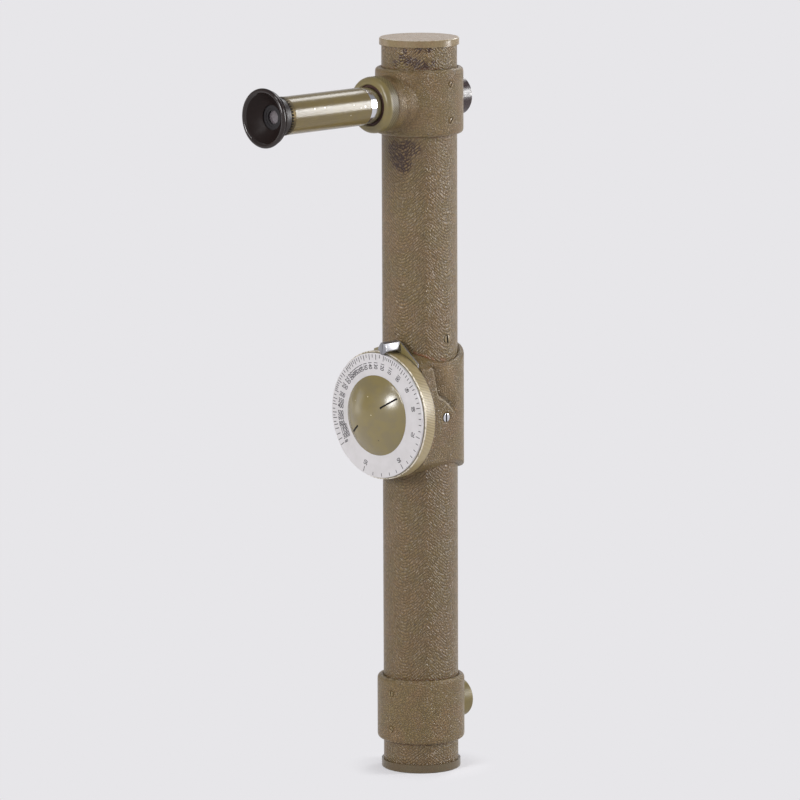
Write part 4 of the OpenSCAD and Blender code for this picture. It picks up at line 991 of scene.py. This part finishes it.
# Dome of the dial, with its two spanner slots as strips of painted shade
def slot_inlay(ball, centre, turn, start, end):
    """A strip of painted shade for a slot, which follows the dome and lies just proud of it."""
    work = bmesh.new()
    parts, half_w = 16, 0.6
    rows = []
    for i in range(parts + 1):
        r = start + (end - start) * i / parts
        lift = centre + math.sqrt((ball + 0.015) ** 2 - r * r)
        rows.append([work.verts.new(Vector((r, side, lift)) * MM) for side in (-half_w, half_w)])
    for a, b in zip(rows, rows[1:]):
        work.faces.new((a[0], b[0], b[1], a[1]))
    return finished(work, "dome_slot", front_at(DIAL_AXIS, -turn))


dome_mesh, BALL, BALL_CENTRE = dome()
make_piece("dial_dome", dome_mesh, GLOSS_DOME, "dial", ["dial_cap"])
for side, turn, start, end in (("right", SLOT_TURN, 11.8, 24.0), ("left", SLOT_TURN + 180, 12.3, 22.5)):
    make_piece("dome_slot_" + side, slot_inlay(BALL, BALL_CENTRE, turn, start, end), NOTCH_SHADOW, "dial")


# Slotted screws. A head is (diameter, height), and a spot is (place, turn of the slot)
HOUSING_HEAD = (3.7, 1.3)
GUIDE_HEAD = (5.4, 1.5)
PAD_HEAD = (5.8, 1.6)
UPPER_SCREW_UP = 11.8
LOWER_SCREW_UP = 11.9


def screw_mesh(name, head, place, turn):
    """Slotted head that stands just over local z = 0. The slot runs along local Y, then takes its turn."""
    head_d, head_h = head
    r = head_d / 2
    slot = head_d * 0.1
    start = math.degrees(math.asin(slot / r))
    work = bmesh.new()
    for side in (-1, 1):
        outline = [(side * x, y) for x, y in arc(0, 0, r, -90 + start, 90 - start, 20)]
        prism(work, outline if side > 0 else outline[::-1], -head_h, 0.1)
    prism(work, arc(0, 0, r - 0.02, 0, 345, 23), -head_h - 0.1, -head_h * 0.6)
    return finished(work, name, place @ turned(turn), 0.22, 3)


def add_screws(label, node, material, head, spots):
    """Screw heads in place of a CAD node. The floor of a wide head's slot is painted shade."""
    wide = head[0] > 4
    for index, (place, turn) in enumerate(spots):
        mesh = screw_mesh(label, head, place, turn)
        piece = make_piece("%s_%d" % (label, index), mesh, material, "body", [node], 30)
        piece.data.materials.append(NOTCH_SHADOW)
        # The floor of a wide head's slot gets painted shade
        inward = place.inverted()
        for face in piece.data.polygons:
            face.material_index = int(wide and (inward @ face.center).z < -0.35 * head[1] * MM)


upper_spots = [(around_tube(90 * side, UPPER_AXIS + way * UPPER_SCREW_UP, SLEEVE_R + 0.15), turn)
               for side, way, turn in ((1, 1, -30), (1, -1, -38), (-1, 1, 15), (-1, -1, 70))]
lower_spots = [(around_tube(0, LOWER_AXIS + way * LOWER_SCREW_UP, SLEEVE_R + 0.15), turn)
               for way, turn in ((1, 4), (-1, 62))]
guide_spots = [(around_tube(90 * side, middle("guide_plate_screws", 2), TUBE_R + 0.25), turn)
               for side, turn in ((1, 8), (-1, 40))]
pad_shift = Matrix.Translation((0, middle("centre_housing_screws", 1) * MM, 0))
pad_spots = [(pad_shift @ around_tube(90 * side, middle("centre_housing_screws", 2), SLEEVE_R + 0.05), turn)
             for side, turn in ((1, 0), (-1, 55))]
add_screws("upper_screw", "upper_housing_screws", SCREW_OLIVE, HOUSING_HEAD, upper_spots)
add_screws("lower_screw", "lower_housing_screws", SCREW_OLIVE, HOUSING_HEAD, lower_spots)
add_screws("guide_screw", "guide_plate_screws", SCREW_OLIVE, GUIDE_HEAD, guide_spots)
add_screws("pad_screw", "centre_housing_screws", CHROME, PAD_HEAD, pad_spots)


# CAD nodes that keep their shape get their finishes
FINISHES = {
    TUBE_GRAIN: ["main_tube"],
    SMOOTH: ["top_cap"],
    SMOOTH_SHADED: ["bottom_cap"],
    GLOSS_RING: ["lower_window_ring"],
    RING_BLACK: ["upper_window_ring"],
    CHROME: ["inner_tube", "guide_rods", "spindle_nut", "bracket_screws"],
    BRASS_DULL: ["dioptre_ring"],
    RED_BROWN: ["draw_tube_guide"],
    STEEL: ["lower_prism_cradle", "combiner_cradle", "guide_plate_upper", "guide_plate_lower",
            "friction_washer", "limit_pin", "dial_spindle", "dial_stop", "spindle_clip", "rack_screws"],
    BRASS_METAL: ["spindle_bush", "pinion", "rack", "wedge_carriage"],
    BLACK: ["upper_glass_ring", "lower_glass_ring", "lower_objective_cell", "field_lens_ring",
            "field_stop", "ocular_cell", "eye_lens_ring", "wedge_ring"],
    GLASS: ["upper_window_glass", "lower_window_glass"],
    DARK_GLASS: ["upper_objective", "lower_prism", "lower_objective", "combining_prism",
                 "combining_cover_prism", "wedge_prism", "field_lens"],
    EYE_LENS_PAINTED: ["eye_lens"],
}
for material, nodes in FINISHES.items():
    for node in nodes:
        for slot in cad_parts[node].material_slots:
            slot.material = material


# Stage: a pale floor that keeps the shadow, soft studio lamps and the camera
PALE = (0.799, 0.791, 0.815, 1)
CAMERA_TURN = 43.85
CAMERA_AWAY = 3787.5
CAMERA_UP = 883.0
CAMERA_PITCH = 9.5829
CAMERA_YAW = 0.1984
CAMERA_ROLL = -0.20
CAMERA_LENS = 265.37
PALE_UP_TO = 13
DARK_FROM = 34
OVERHEAD = (0.34, 0.345, 0.37, 1)
LEFT_TURN = -118
LEFT_FADE = (0.55, 0.9)
LEFT_DIM = (0.36, 0.35, 0.35, 1)
FLOOR_LIT = (0.86, 0.852, 0.875, 1)
SHADOW_FROM = 28
SHADOW_TO = 52
SHADOW_VEIL = 0.45
AIM_UP = 260

# A lamp is (name, turn right of the camera, elevation, distance, width, height or 0 if round, watts).
# Its lengths are in metres and its angles in degrees
LAMPS = (
    ("key", -42, 19, 2.2, 0.66, 0, 23.0),
    ("key_high", -42, 45, 2.2, 0.50, 0, 7.0),
    ("side_right", 93, 14, 2.0, 0.34, 1.15, 30.0),
    ("panel_left", -112, -2, 1.7, 0.50, 0.9, 1.5),
    ("top_back", 152, 42, 1.8, 0.46, 0.9, 9.0))


def floor_material():
    """Pale floor. The camera, mirrors and glass see mostly its plain colour, and the shadow near the part."""
    material = bpy.data.materials.new("pale_floor")
    material.use_nodes = True
    tree = material.node_tree
    tree.nodes.remove(tree.nodes["Principled BSDF"])
    nodes = Nodes(tree)
    lit = nodes.node("ShaderNodeBsdfDiffuse", {"Color": FLOOR_LIT})[0]
    plain = nodes.node("ShaderNodeEmission", {"Color": PALE})[0]
    away = nodes.vector("LENGTH", nodes.node("ShaderNodeTexCoord")["Object"])
    ray = nodes.node("ShaderNodeLightPath")
    seen = nodes.math("ADD", ray["Is Camera Ray"], ray["Is Glossy Ray"])
    seen = nodes.math("ADD", seen, ray["Is Transmission Ray"], clamp=True)
    share = nodes.times(nodes.spread(away, SHADOW_FROM * MM, SHADOW_TO * MM, SHADOW_VEIL), seen)
    blend = nodes.node("ShaderNodeMixShader", {0: share, 1: lit, 2: plain})[0]
    nodes.feed(tree.nodes["Material Output"].inputs["Surface"], blend)
    return material


def add_floor():
    half = 12000
    corners = [(-half, -half, 0), (half, -half, 0), (half, half, 0), (-half, half, 0)]
    mesh = mesh_of("floor", corners, [(0, 1, 2, 3)])
    mesh.materials.append(floor_material())
    floor = add_object("floor", mesh)


def add_world():
    """Surroundings that all rays see alike: pale near the horizon, darker higher up and on the left."""
    world = bpy.data.worlds.new("studio")
    bpy.context.scene.world = world
    world.use_nodes = True
    nodes = Nodes(world.node_tree)
    where = nodes.node("ShaderNodeTexCoord")["Generated"]
    height = nodes.node("ShaderNodeSeparateXYZ", {0: where})["Z"]
    rise = nodes.spread(height, math.sin(math.radians(PALE_UP_TO)), math.sin(math.radians(DARK_FROM)))
    left = math.radians(CAMERA_TURN + LEFT_TURN)
    facing = nodes.vector("DOT_PRODUCT", where, (math.sin(left), -math.cos(left), 0))
    color = nodes.mix(nodes.spread(facing, *LEFT_FADE), nodes.mix(rise, PALE, OVERHEAD), LEFT_DIM)
    nodes.feed(world.node_tree.nodes["Background"].inputs["Color"], color)


def add_lamp(name, turn, lift, away, wide, tall, power):
    """Area lamp that faces the part."""
    lamp = bpy.data.lights.new(name, "AREA")
    lamp.shape = "RECTANGLE" if tall else "DISK"
    lamp.size = wide
    lamp.size_y = tall or wide
    lamp.energy = power
    holder = add_object(name, lamp)
    heading = math.radians(CAMERA_TURN + turn)
    up = math.radians(lift)
    ray = Vector((math.sin(heading) * math.cos(up), -math.cos(heading) * math.cos(up), math.sin(up)))
    holder.location = Vector((0, 0, AIM_UP * MM)) + ray * away
    holder.rotation_euler = ray.to_track_quat("Z", "Y").to_euler()


def add_camera():
    camera = bpy.data.cameras.new("camera")
    camera.sensor_width = 36
    camera.lens = CAMERA_LENS
    camera.clip_end = 60
    holder = add_object("camera", camera)
    heading = math.radians(CAMERA_TURN)
    spot = Vector((math.sin(heading) * CAMERA_AWAY, -math.cos(heading) * CAMERA_AWAY, CAMERA_UP))
    holder.location = spot * MM
    turn = turned(CAMERA_TURN + CAMERA_YAW) @ turned(90 - CAMERA_PITCH, "X") @ turned(CAMERA_ROLL)
    holder.rotation_euler = turn.to_euler()
    bpy.context.scene.camera = holder


add_floor()
add_world()
for lamp_settings in LAMPS:
    add_lamp(*lamp_settings)
add_camera()

scene = bpy.context.scene
scene.view_settings.view_transform = "Standard"
